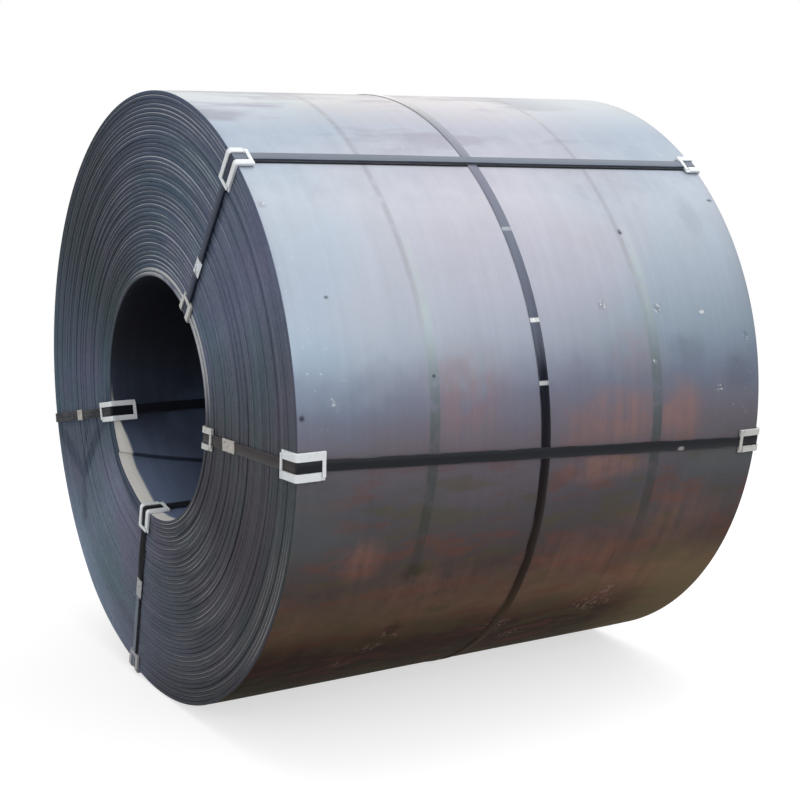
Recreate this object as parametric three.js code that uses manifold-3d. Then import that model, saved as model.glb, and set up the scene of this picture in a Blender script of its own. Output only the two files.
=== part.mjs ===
// Hot-rolled steel coil lying on its barrel, strapped through the eye and round the middle.
// Millimetres, +Z up. The coil's axis runs along X; the near end is at -X.
// A clock angle is measured about the coil's axis from straight up towards -Y.

import * as THREE from 'three';
import { ParametricGeometry } from 'three/addons/geometries/ParametricGeometry.js';
import { mergeVertices } from 'three/addons/utils/BufferGeometryUtils.js';
import Module from 'manifold-3d';

// Coil
const BORE_RADIUS = 381;
const OUTER_RADIUS = 945;
const COIL_WIDTH = 1620;
const SIDES = 64;
const TURN_GROUPS = 11;
const GROUP_RECESS = 3;

// Straps and seals
const STRAP_WIDTH = 32;
const STRAP_THICKNESS = 1;
const SEAL_WIDTH = 37;
const SEAL_WALL = 1.2;
const CIRCUMFERENTIAL_X = -24;
const CIRCUMFERENTIAL_SKEW = 41;
const CIRCUMFERENTIAL_SKEW_CLOCK = 75;

// Edge protectors
const PROTECTOR_PLATE = 3;
const PROTECTOR_HEIGHT = 7.6;
const CHANNEL_WIDTH = 33;
const HOOK_LENGTH = 10;
const HOOK_ROOT = 2;
const HOOK_SHORT = 8;
const MOUTH = 4;
const BEND_DEPTH = 3;
const BEND_STEPS = 3;

// Clearances
const GAP = 0.3;
const BARREL_GAP = 1.5;
const BORE_GAP = 2.9;

// Each eye strap's clock angle at the four edges it crosses, and the protector there: its legs down
// the end and along the barrel or bore, its width, and the side of the channel that the face leg's
// hook springs from (+1 towards the larger clock angle). The rear strap has none at the near rim.
const EYE_STRAPS = [
  {
    name: 'upper',
    sealRadius: 556,
    sealLength: 52,
    near: {
      outer: { clock: 38.3, hookSide: -1, faceLeg: 90, rimLeg: 50, width: 70 },
      inner: { clock: 40.5, hookSide: 1, faceLeg: 52, rimLeg: 60, width: 66 },
    },
    far: {
      outer: { clock: 40.8, hookSide: 1, faceLeg: 66, rimLeg: 50, width: 70 },
      inner: { clock: 40.8, hookSide: -1, faceLeg: 60, rimLeg: 66, width: 66 },
    },
  },
  {
    name: 'front',
    sealRadius: 550,
    sealLength: 76,
    near: {
      outer: { clock: 93, hookSide: 1, faceLeg: 80, rimLeg: 82, width: 78 },
      inner: { clock: 99.3, hookSide: -1, faceLeg: 56, rimLeg: 60, width: 68 },
    },
    far: {
      outer: { clock: 97.7, hookSide: 1, faceLeg: 80, rimLeg: 74, width: 72 },
      inner: { clock: 97.7, hookSide: 1, faceLeg: 60, rimLeg: 66, width: 68 },
    },
  },
  {
    name: 'bottom',
    sealRadius: 656,
    sealLength: 62,
    near: {
      outer: { clock: -167.5, hookSide: -1, faceLeg: 54, rimLeg: 60, width: 66 },
      inner: { clock: -167.5, hookSide: 1, faceLeg: 66, rimLeg: 68, width: 66 },
    },
    far: {
      outer: { clock: -167.5, hookSide: 1, faceLeg: 60, rimLeg: 60, width: 66 },
      inner: { clock: -167.5, hookSide: -1, faceLeg: 60, rimLeg: 66, width: 66 },
    },
  },
  {
    name: 'rear',
    sealRadius: 680,
    sealLength: 46,
    near: {
      outer: { clock: -102.3 },
      inner: { clock: -104.5, hookSide: 1, faceLeg: 88, rimLeg: 84, width: 66 },
    },
    far: {
      outer: { clock: -102.3, hookSide: 1, faceLeg: 66, rimLeg: 66, width: 70 },
      inner: { clock: -104.5, hookSide: -1, faceLeg: 60, rimLeg: 66, width: 66 },
    },
  },
];

// A strap keeps its clock angle for this far along the barrel or bore from each edge.
const EDGE_HOLD = 90;

const HALF_WIDTH = COIL_WIDTH / 2;
const STRAP_LIFT = PROTECTOR_PLATE + GAP;
const HOOK_LIFT = STRAP_LIFT + STRAP_THICKNESS + GAP;
const AXIS_HEIGHT = OUTER_RADIUS + GAP + STRAP_THICKNESS;
const BARREL_SURFACE = OUTER_RADIUS + BARREL_GAP;
const BORE_SURFACE = BORE_RADIUS - BORE_GAP;
const BEND_OUTER = BARREL_SURFACE - BEND_DEPTH;
const BEND_INNER = BORE_SURFACE + BEND_DEPTH;

const STEEL = new THREE.MeshStandardMaterial({ color: 0x7c8494, roughness: 0.42, metalness: 0.6 });
const STRAP_STEEL = new THREE.MeshStandardMaterial({ color: 0x2b2d33, roughness: 0.4, metalness: 0.5 });
const SEAL_STEEL = new THREE.MeshStandardMaterial({ color: 0xb9b2a6, roughness: 0.45, metalness: 0.6 });
const PROTECTOR_PAINT = new THREE.MeshStandardMaterial({ color: 0xe9ebec, roughness: 0.5, metalness: 0.1 });

const wasm = await Module();
wasm.setup();

const radians = THREE.MathUtils.degToRad;
const { lerp, clamp } = THREE.MathUtils;

function toManifold(geometry) {
  const plain = geometry.clone();
  plain.deleteAttribute('normal');
  plain.deleteAttribute('uv');
  const merged = mergeVertices(plain, 1e-4);
  return new wasm.Manifold(
    new wasm.Mesh({
      numProp: 3,
      vertProperties: merged.attributes.position.array,
      triVerts: merged.index.array,
    }),
  );
}

function fromManifold(solid) {
  const mesh = solid.getMesh();
  const geometry = new THREE.BufferGeometry();
  geometry.setAttribute('position', new THREE.BufferAttribute(mesh.vertProperties, 3));
  geometry.setIndex(new THREE.BufferAttribute(mesh.triVerts, 1));
  geometry.computeVertexNormals();
  return geometry;
}

// A ring turned about the X axis. Its flats, not its corners, lie at the radii of the profile, and
// one of the flats faces straight down.
function turnedRing(profile) {
  const corner = 1 / Math.cos(Math.PI / SIDES);
  const points = profile.map(([radius, x]) => new THREE.Vector2(radius * corner, x));
  points.push(points[0].clone());
  const geometry = new THREE.LatheGeometry(points, SIDES, Math.PI / SIDES);
  geometry.rotateZ(-Math.PI / 2);
  return geometry;
}

// The wound strip: a thick tube whose ends step in and out from one group of turns to the next.
function coilGeometry() {
  const step = (OUTER_RADIUS - BORE_RADIUS) / TURN_GROUPS;
  const end = [];
  for (let group = 0; group < TURN_GROUPS; group += 1) {
    const x = HALF_WIDTH - (group % 2) * GROUP_RECESS;
    end.push([BORE_RADIUS + group * step, x]);
    end.push([BORE_RADIUS + (group + 1) * step, x]);
  }
  const near = end.map(([radius, x]) => [radius, -x]);
  return turnedRing([...near, ...end.reverse()]);
}

// The strap round the barrel, slightly askew, so that it lies further along at one side.
function circumferentialGeometry() {
  const inner = OUTER_RADIUS + GAP;
  const outer = inner + STRAP_THICKNESS;
  const half = STRAP_WIDTH / 2;
  const geometry = turnedRing([
    [inner, -half],
    [outer, -half],
    [outer, half],
    [inner, half],
  ]);
  const position = geometry.attributes.position;
  for (let i = 0; i < position.count; i += 1) {
    const clock = Math.atan2(-position.getY(i), position.getZ(i));
    const skew = CIRCUMFERENTIAL_SKEW * Math.sin(clock - radians(CIRCUMFERENTIAL_SKEW_CLOCK));
    position.setX(i, position.getX(i) + CIRCUMFERENTIAL_X + skew);
  }
  return geometry;
}

// The bend that a strap or protector makes round one edge of the coil: endSide is -1 at the near end
// and +1 at the far end, and rimSide is +1 at the outer edge and -1 at the bore edge.
function edgeBend(endSide, rimSide, faceLeg, rimLeg) {
  return {
    endSide,
    rimSide,
    surface: rimSide > 0 ? BARREL_SURFACE : BORE_SURFACE,
    radius: rimSide > 0 ? BEND_OUTER : BEND_INNER,
    x: endSide * (HALF_WIDTH + GAP - BEND_DEPTH),
    rimLegEnd: endSide * (HALF_WIDTH - rimLeg),
    faceLegEnd: rimSide > 0 ? OUTER_RADIUS - faceLeg : BORE_RADIUS + faceLeg,
  };
}

// Points along a bend, at the height above the protector's inner face: from the leg along the barrel
// or bore, round the edge, to the leg down the end.
function bendPoints(bend, height) {
  const reach = BEND_DEPTH + height;
  const points = [new THREE.Vector2(bend.rimLegEnd, bend.surface + bend.rimSide * height)];
  for (let i = 0; i <= BEND_STEPS; i += 1) {
    const angle = (Math.PI / 2) * (i / BEND_STEPS);
    points.push(
      new THREE.Vector2(
        bend.x + bend.endSide * reach * Math.sin(angle),
        bend.radius + bend.rimSide * reach * Math.cos(angle),
      ),
    );
  }
  points.push(new THREE.Vector2(bend.endSide * (HALF_WIDTH + GAP + height), bend.faceLegEnd));
  return points;
}

// The whole closed outline of an eye strap at one height, seen square to the coil's axis.
function strapLoop(height) {
  const corner = (endSide, rimSide) => bendPoints(edgeBend(endSide, rimSide, EDGE_HOLD, EDGE_HOLD), height);
  return [...corner(-1, 1).reverse(), ...corner(1, 1), ...corner(1, -1).reverse(), ...corner(-1, -1)];
}

function extruded(shape, width) {
  const geometry = new THREE.ExtrudeGeometry(shape, { depth: width, bevelEnabled: false });
  geometry.translate(0, 0, -width / 2);
  return geometry;
}

// A point at a radius and clock angle, across the axis.
function polar(radius, clock) {
  return new THREE.Vector2(-radius * Math.sin(clock), radius * Math.cos(clock));
}

// The middle of an eye strap at a place on its loop, and the clock angle it faces there. It runs
// straight down each end from edge to edge, and evenly along the barrel and bore between its holds.
function strapPlace(strap, x, radius) {
  const reach = HALF_WIDTH - EDGE_HOLD;
  const along = clamp((x + reach) / (2 * reach), 0, 1);
  const inner = radians(lerp(strap.near.inner.clock, strap.far.inner.clock, along));
  const outer = radians(lerp(strap.near.outer.clock, strap.far.outer.clock, along));
  const outward = (radius - BEND_INNER) / (BEND_OUTER - BEND_INNER);
  if (outward <= 0) {
    return { middle: polar(radius, inner), clock: inner };
  }
  if (outward >= 1) {
    return { middle: polar(radius, outer), clock: outer };
  }
  return {
    middle: polar(BEND_INNER, inner).lerp(polar(BEND_OUTER, outer), outward),
    clock: lerp(inner, outer, outward),
  };
}

// An eye strap: a flat section carried round the loop, which is turned about the axis to its place.
function eyeStrapGeometry(strap) {
  const half = STRAP_WIDTH / 2;
  const inner = strapLoop(STRAP_LIFT);
  const outer = strapLoop(STRAP_LIFT + STRAP_THICKNESS);
  const section = [
    { loop: inner, across: -half },
    { loop: inner, across: half },
    { loop: outer, across: half },
    { loop: outer, across: -half },
  ];
  const place = (u, v, target) => {
    const { loop, across } = section[Math.round(v * section.length) % section.length];
    const point = loop[Math.round(u * loop.length) % loop.length];
    const { middle, clock } = strapPlace(strap, point.x, point.y);
    const y = middle.x - across * Math.cos(clock);
    const z = middle.y - across * Math.sin(clock);
    target.set(point.x, y, z);
  };
  return new ParametricGeometry(place, inner.length, section.length);
}

// Outline of a bent plate between the coil and the given height.
function plateShape(bend, height) {
  const outer = bendPoints(bend, height);
  const faceX = bend.endSide * (HALF_WIDTH + GAP);
  return new THREE.Shape([
    ...outer,
    new THREE.Vector2(faceX, bend.faceLegEnd),
    new THREE.Vector2(faceX, bend.surface),
    new THREE.Vector2(bend.rimLegEnd, bend.surface),
  ]);
}

// The hook at the end of a leg: a bar over the strap, springing from the band on one side and open
// at the other.
function hookGeometry(sizeX, sizeRadius, centreX, centreRadius, side, width) {
  const root = CHANNEL_WIDTH / 2 + HOOK_ROOT;
  const tip = width / 2 - HOOK_SHORT;
  const geometry = new THREE.BoxGeometry(sizeX, sizeRadius, root + tip);
  geometry.translate(centreX, centreRadius, (side * (root - tip)) / 2);
  return geometry;
}

function protectorHooks(bend, hookSide, width) {
  const thickness = PROTECTOR_HEIGHT - HOOK_LIFT;
  const middle = (PROTECTOR_HEIGHT + HOOK_LIFT) / 2;
  const faceX = bend.endSide * (HALF_WIDTH + GAP + middle);
  const faceRadius = bend.faceLegEnd + (bend.rimSide * HOOK_LENGTH) / 2;
  const rimX = bend.rimLegEnd + (bend.endSide * HOOK_LENGTH) / 2;
  const rimRadius = bend.surface + bend.rimSide * middle;
  return [
    hookGeometry(thickness, HOOK_LENGTH, faceX, faceRadius, hookSide, width),
    hookGeometry(HOOK_LENGTH, thickness, rimX, rimRadius, -hookSide, width),
  ];
}

// The raised band down one side of a protector. It stops short of the hook that springs from the
// other side.
function bandGeometry(endSide, rimSide, crossing, side) {
  const stop = HOOK_LENGTH + MOUTH;
  const faceLeg = crossing.faceLeg - (side === crossing.hookSide ? 0 : stop);
  const rimLeg = crossing.rimLeg - (side === crossing.hookSide ? stop : 0);
  const width = (crossing.width - CHANNEL_WIDTH) / 2;
  const shape = plateShape(edgeBend(endSide, rimSide, faceLeg, rimLeg), PROTECTOR_HEIGHT);
  return extruded(shape, width).translate(0, 0, (side * (CHANNEL_WIDTH + width)) / 2);
}

// Slides each point down the end sideways, so that the leg there runs in line with the strap.
function alignFaceLeg(geometry, bend, slope) {
  const position = geometry.attributes.position;
  for (let i = 0; i < position.count; i += 1) {
    const down = Math.max(0, bend.rimSide * (bend.radius - position.getY(i)));
    position.setZ(i, position.getZ(i) + slope * down);
  }
}

// An edge protector: a plate bent over the edge, a raised band down each side that keeps the strap in
// its channel, and a hook at the end of each leg.
function protectorGeometry(endSide, rimSide, crossing, slope) {
  const bend = edgeBend(endSide, rimSide, crossing.faceLeg, crossing.rimLeg);
  const parts = [
    extruded(plateShape(bend, PROTECTOR_PLATE), crossing.width),
    bandGeometry(endSide, rimSide, crossing, -1),
    bandGeometry(endSide, rimSide, crossing, 1),
    ...protectorHooks(bend, crossing.hookSide, crossing.width),
  ];
  const solid = parts.map(toManifold).reduce((whole, part) => whole.add(part));
  const geometry = fromManifold(solid);
  alignFaceLeg(geometry, bend, slope);
  return geometry;
}

// A crimped sleeve round the strap.
function sealGeometry(length) {
  const bore = STRAP_THICKNESS + 2 * GAP;
  const sleeve = new THREE.BoxGeometry(bore + 2 * SEAL_WALL, length, SEAL_WIDTH);
  const slot = new THREE.BoxGeometry(bore, 2 * length, CHANNEL_WIDTH);
  return fromManifold(toManifold(sleeve).subtract(toManifold(slot)));
}

function addMesh(parent, name, geometry, material) {
  const mesh = new THREE.Mesh(geometry, material);
  mesh.name = name;
  parent.add(mesh);
  return mesh;
}

// Turns a mesh drawn in the plane of the axis to its clock angle.
function turnTo(mesh, clock) {
  mesh.rotation.x = clock + Math.PI / 2;
}

// How far sideways a strap runs for each millimetre down the end, starting from one edge: at the
// crossing on the given side, towards the crossing at the other edge of the same end.
function faceSlope(crossing, other, rimSide) {
  const turn = radians(other.clock - crossing.clock);
  const [here, there] = rimSide > 0 ? [BEND_OUTER, BEND_INNER] : [BEND_INNER, BEND_OUTER];
  return (there * Math.sin(turn)) / Math.abs(here - there * Math.cos(turn));
}

function addProtectors(parent, strap) {
  for (const [end, endSide] of [['near', -1], ['far', 1]]) {
    for (const [rim, rimSide] of [['outer', 1], ['inner', -1]]) {
      const crossing = strap[end][rim];
      if (crossing.width) {
        const slope = faceSlope(crossing, strap[end][rim === 'outer' ? 'inner' : 'outer'], rimSide);
        const geometry = protectorGeometry(endSide, rimSide, crossing, slope);
        const name = `protector_${strap.name}_${end}_${rim}`;
        turnTo(addMesh(parent, name, geometry, PROTECTOR_PAINT), radians(crossing.clock));
      }
    }
  }
}

// The seal sits on the near end, turned in line with the strap where the strap runs aslant.
function addSeal(parent, strap) {
  const start = polar(BEND_INNER, radians(strap.near.inner.clock));
  const finish = polar(BEND_OUTER, radians(strap.near.outer.clock));
  const share = (strap.sealRadius - BEND_INNER) / (BEND_OUTER - BEND_INNER);
  const centre = start.clone().lerp(finish, share);
  const direction = finish.clone().sub(start);
  const geometry = sealGeometry(strap.sealLength);
  const seal = addMesh(parent, `seal_${strap.name}`, geometry, SEAL_STEEL);
  seal.position.set(-(HALF_WIDTH + GAP + STRAP_LIFT + STRAP_THICKNESS / 2), centre.x, centre.y);
  turnTo(seal, Math.atan2(-direction.x, direction.y));
}

const coil = new THREE.Group();
coil.position.z = AXIS_HEIGHT;
addMesh(coil, 'coil', coilGeometry(), STEEL);
addMesh(coil, 'circumferential_strap', circumferentialGeometry(), STRAP_STEEL);
for (const strap of EYE_STRAPS) {
  addMesh(coil, `eye_strap_${strap.name}`, eyeStrapGeometry(strap), STRAP_STEEL);
  addSeal(coil, strap);
  addProtectors(coil, strap);
}

const stock = new THREE.Group();
stock.add(coil);

export default stock;
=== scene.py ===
"""Looks of a hot-rolled steel coil lying on its barrel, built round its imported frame.

Metres, +Z up. The coil's axis runs along X and the near end is at -X. A clock angle is measured
about the coil's axis from straight up towards -Y. "Along" is a place on X, and "across" is a
distance square to a strap, positive towards the larger clock angle.
"""

import logging
import math
from collections.abc import Callable, Iterable
from dataclasses import dataclass, field, replace
from enum import Enum
from functools import reduce

import bpy
import numpy as np
from mathutils import Euler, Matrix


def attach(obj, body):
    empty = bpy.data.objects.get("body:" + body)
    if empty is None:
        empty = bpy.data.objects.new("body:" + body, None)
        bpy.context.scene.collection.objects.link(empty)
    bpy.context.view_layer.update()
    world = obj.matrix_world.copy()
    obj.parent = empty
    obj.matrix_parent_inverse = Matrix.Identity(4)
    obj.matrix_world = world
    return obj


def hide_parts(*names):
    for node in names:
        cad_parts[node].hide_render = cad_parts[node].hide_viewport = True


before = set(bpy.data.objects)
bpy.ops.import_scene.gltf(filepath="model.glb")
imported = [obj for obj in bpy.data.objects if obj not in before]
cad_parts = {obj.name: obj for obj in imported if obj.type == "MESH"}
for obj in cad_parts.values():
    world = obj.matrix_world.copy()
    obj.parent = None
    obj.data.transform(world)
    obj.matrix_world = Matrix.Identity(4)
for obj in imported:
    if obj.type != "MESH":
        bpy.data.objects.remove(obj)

LOG = logging.getLogger("steel_coil")
ROOT = "root"
MM = 0.001
AXIS_HEIGHT = 946.3 * MM

Array = np.ndarray
Numbers = Array | float
Material = bpy.types.Material
Colour = tuple[float, float, float]
Vector = tuple[float, float, float]
Shades = tuple[tuple[float, Colour], ...]
Span = tuple[float, float]
Sector = tuple[float, float, float]


class End(Enum):
    """An end of the coil, by the sign of its place along the axis."""

    NEAR = -1
    FAR = 1


class Rim(Enum):
    """An edge of an end of the coil, by the side of the wall of turns that it is on."""

    OUTER = 1
    INNER = -1


# ---- meshes


def smooth_step(value: Numbers) -> Numbers:
    """Returns 3v^2 - 2v^3 of the value held between 0 and 1."""
    held = np.clip(value, 0.0, 1.0)
    return held * held * (3.0 - 2.0 * held)


def smooth_noise(seed: int, count: int, places: Array) -> Array:
    """A smooth random curve: at each place the cosine blend of the random knots beside it.

    Args:
        seed: Seed of the knots.
        count: Number of knots.
        places: Where the curve is read, from 0 to count - 1.

    Returns:
        Values from -1 to 1, of the shape of places.
    """
    knots = np.random.default_rng(seed).uniform(-1.0, 1.0, count)
    low = np.clip(np.floor(places).astype(int), 0, count - 2)
    share = 0.5 - 0.5 * np.cos(np.pi * np.clip(places - low, 0.0, 1.0))
    return knots[low] * (1.0 - share) + knots[low + 1] * share


def about_axis(along: Numbers, radius: Numbers, clock: Numbers, across: Numbers = 0.0) -> Array:
    """Points placed about the coil's axis.

    With the clock angle c and the axis's height h: (along, -radius sin c - across cos c,
    h + radius cos c - across sin c).

    Args:
        along: Place along the axis.
        radius: Distance from the axis.
        clock: Clock angle in degrees.
        across: Distance square to the radius, towards the larger clock angle.

    Returns:
        An array with a last dimension of three coordinates.
    """
    angle = np.radians(clock)
    y = -radius * np.sin(angle) - across * np.cos(angle)
    z = AXIS_HEIGHT + radius * np.cos(angle) - across * np.sin(angle)
    return np.stack(np.broadcast_arrays(along, y, z), axis=-1)


def fan_volume(corners: Array) -> float:
    """Six times the volume from faces to the origin: the triple products of their corner fans."""
    fans = np.cross(corners[:, 1:-1], corners[:, 2:]).sum(axis=1)
    return float(np.sum(corners[:, 0] * fans))


def end_to_end(*parts: tuple[Numbers, ...]) -> Array:
    """The parts' columns joined end to end, after single numbers are spread along their part."""
    return np.concatenate([np.stack(np.broadcast_arrays(*part)) for part in parts], axis=-1)


def ring_shares(first: Array, second: Array) -> Array:
    """The share of a closed ring's length up to each of its places, and 1 where it closes."""
    steps = np.hypot(np.roll(first, -1) - first, np.roll(second, -1) - second)
    return np.concatenate([[0.0], np.cumsum(steps)]) / steps.sum()


def added(name: str, data: bpy.types.ID) -> bpy.types.Object:
    """Adds an object with this name and data to the scene."""
    made = bpy.data.objects.new(name, data)
    bpy.context.scene.collection.objects.link(made)
    return made


@dataclass
class Grid:
    """A surface on a grid of points: rows of stations, each with the same number of places.

    The places of a row are joined in a ring. The rows are joined in a ring too when closed is
    set, and otherwise a flat cap closes each end. Marks are numbers that the finishes read, by
    row and place.
    """

    points: Array
    closed: bool
    finish_of_place: Array | None = None
    uv_name: str = "UVMap"
    uv_rows: Array | None = None
    uv_places: Array | None = None
    uv_shift: Array | None = None
    marks: dict[str, Array] = field(default_factory=dict)

    def quads(self) -> tuple[Array, Array, Array]:
        """Numbers the corners of the quads.

        Returns:
            Point numbers, row numbers and place numbers, each by quad and corner. A row or place
            number may be one past the last, where the ring closes.
        """
        rows, places = self.points.shape[:2]
        row = np.arange(rows if self.closed else rows - 1)[:, None, None]
        place = np.arange(places)[None, :, None]
        row = (row + np.array([0, 1, 1, 0])) + 0 * place
        place = (place + np.array([0, 0, 1, 1])) + 0 * row
        numbers = (row % rows) * places + place % places
        return numbers.reshape(-1, 4), row.reshape(-1, 4), place.reshape(-1, 4)

    def caps(self) -> Array:
        """The corners of the two faces that close an open grid, none where it is a ring."""
        rows, places = self.points.shape[:2]
        first = np.arange(places)
        last = first[::-1] + (rows - 1) * places
        return np.stack([first, last])[: 0 if self.closed else 2]

    def build(self, name: str, sharp_degrees: float = 38.0) -> bpy.types.Object:
        """Makes the mesh object, with its faces turned outwards.

        Args:
            name: The piece's name.
            sharp_degrees: Edges bent further than this stay sharp.

        Returns:
            The new object, at the origin.
        """
        rows, places = self.points.shape[:2]
        points = self.points.reshape(-1, 3)
        quads, quad_rows, quad_places = self.quads()
        caps = self.caps()
        if fan_volume(points[quads]) + fan_volume(points[caps]) < 0.0:
            quads, quad_rows, quad_places = (a[:, ::-1] for a in (quads, quad_rows, quad_places))
            caps = caps[:, ::-1]
        corners = np.concatenate([quads.ravel(), caps.ravel()])
        sizes = np.repeat([4, places], [len(quads), len(caps)])
        mesh = bpy.data.meshes.new(name)
        mesh.vertices.add(len(points))
        mesh.vertices.foreach_set("co", points.astype(np.float32).ravel())
        mesh.loops.add(len(corners))
        mesh.loops.foreach_set("vertex_index", corners.astype(np.int32))
        mesh.polygons.add(len(sizes))
        starts = np.cumsum(sizes) - sizes
        mesh.polygons.foreach_set("loop_start", starts.astype(np.int32))
        if self.finish_of_place is not None:
            finishes = self.finish_of_place[np.min(quad_places, axis=1)]
            mesh.polygons.foreach_set("material_index", finishes.astype(np.int32))
        if self.uv_rows is not None:
            self.write_uv(mesh, quad_rows, quad_places)
        for mark, values in self.marks.items():
            attribute = mesh.attributes.new(mark, "FLOAT", "POINT")
            spread = np.broadcast_to(values, (rows, places)).astype(np.float32)
            attribute.data.foreach_set("value", spread.ravel())
        mesh.update(calc_edges=True)
        mesh.shade_smooth()
        mesh.set_sharp_from_angle(angle=math.radians(sharp_degrees))
        return added(name, mesh)

    def write_uv(self, mesh: bpy.types.Mesh, rows: Array, places: Array) -> None:
        """Writes the UV map: u follows the rows and v the places, plus each row's own shift of v.

        Args:
            mesh: The mesh, its quads first.
            rows: Row number by quad and corner.
            places: Place number by quad and corner.
        """
        first = np.min(rows, axis=1)
        shift = 0.0 if self.uv_shift is None else self.uv_shift[first][:, None]
        start = self.uv_rows[first][:, None]
        u = np.where(rows == first[:, None], start, self.uv_rows[rows])
        u = np.where(u < start, u + 1.0, u)
        uv = np.zeros((len(mesh.loops), 2), np.float32)
        uv[: rows.size] = np.stack([u, self.uv_places[places] + shift], axis=-1).reshape(-1, 2)
        layer = mesh.uv_layers.new(name=self.uv_name)
        layer.uv.foreach_set("vector", uv.ravel())


def dress(piece: bpy.types.Object, slot: str, node: str, *finishes: Material) -> None:
    """Gives a piece its finishes and its body, and hides the CAD node that it stands for.

    Args:
        piece: The finished piece.
        slot: The record's material slot; not used.
        node: The CAD node that it replaces.
        finishes: Its materials, in the order of its faces' numbers.
    """
    for finish in finishes:
        piece.data.materials.append(finish)
    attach(piece, ROOT)
    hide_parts(node)
    LOG.info("%s: %d faces, stands for %s", piece.name, len(piece.data.polygons), node)


# ---- shader expressions

MIX_FACTOR, MIX_FIRST, MIX_SECOND, MIX_RESULT = 0, 6, 7, 2
SOCKETS = {"colour": "Base Color", "metallic": "Metallic", "roughness": "Roughness"}
SOCKETS |= {"normal": "Normal", "specular": "Specular IOR Level"}
NOISE_ROUGHNESS = 0.58
HALF_TURN = 180.0


def arithmetic(operation: str, swapped: bool = False) -> "Callable[[Value, Value | float], Value]":
    """An operator that adds a Math node for a value and another, in swapped order if told so."""
    order = slice(None, None, -1 if swapped else 1)
    return lambda *pair: pair[0].maths(operation, *pair[order])


class Value:
    """A socket that turns Python arithmetic into Math nodes."""

    __add__ = arithmetic("ADD")
    __radd__ = arithmetic("ADD", swapped=True)
    __sub__ = arithmetic("SUBTRACT")
    __rsub__ = arithmetic("SUBTRACT", swapped=True)
    __mul__ = arithmetic("MULTIPLY")
    __rmul__ = arithmetic("MULTIPLY", swapped=True)
    __truediv__ = arithmetic("DIVIDE")
    __pow__ = arithmetic("POWER")
    most = arithmetic("MAXIMUM")
    least = arithmetic("MINIMUM")

    def __init__(self, shader: "Shader", socket: bpy.types.NodeSocket) -> None:
        """Wraps a socket of one shader."""
        self.shader = shader
        self.socket = socket

    def maths(self, operation: str, *operands: "Value | float") -> "Value":
        """Adds a Math node that works on these operands in order."""
        inputs = dict(enumerate(operands))
        return self.shader.node("ShaderNodeMath", {"operation": operation}, inputs)

    def also(self, output: str) -> "Value":
        """Another output of the node."""
        return Value(self.shader, self.socket.node.outputs[output])

    def __neg__(self) -> "Value":
        """-self"""
        return self.maths("MULTIPLY", self, -1.0)

    def __abs__(self) -> "Value":
        """abs(self)"""
        return self.maths("ABSOLUTE", self)

    def swing(self, size: float) -> "Value":
        """Noise from 0 to 1 turned into a number from -size / 2 to size / 2."""
        return (self - 0.5) * size

    def rise(self, low: float, high: float) -> "Value":
        """0 at low and 1 at high, with a smooth step between them; low may be the larger."""
        return self.shader.node(
            "ShaderNodeMapRange",
            {"interpolation_type": "SMOOTHSTEP"},
            {"Value": self, "From Min": low, "From Max": high},
        )

    def band(self, centre: "Value | float", half: float, edge: float) -> "Value":
        """1 within half of the centre, falling smoothly to 0 over the edge beyond that."""
        return abs(self - centre).rise(half + edge, half)


def strongest(masks: Iterable[Value]) -> Value:
    """The strongest of several masks at each point."""
    return reduce(Value.most, masks)


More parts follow.
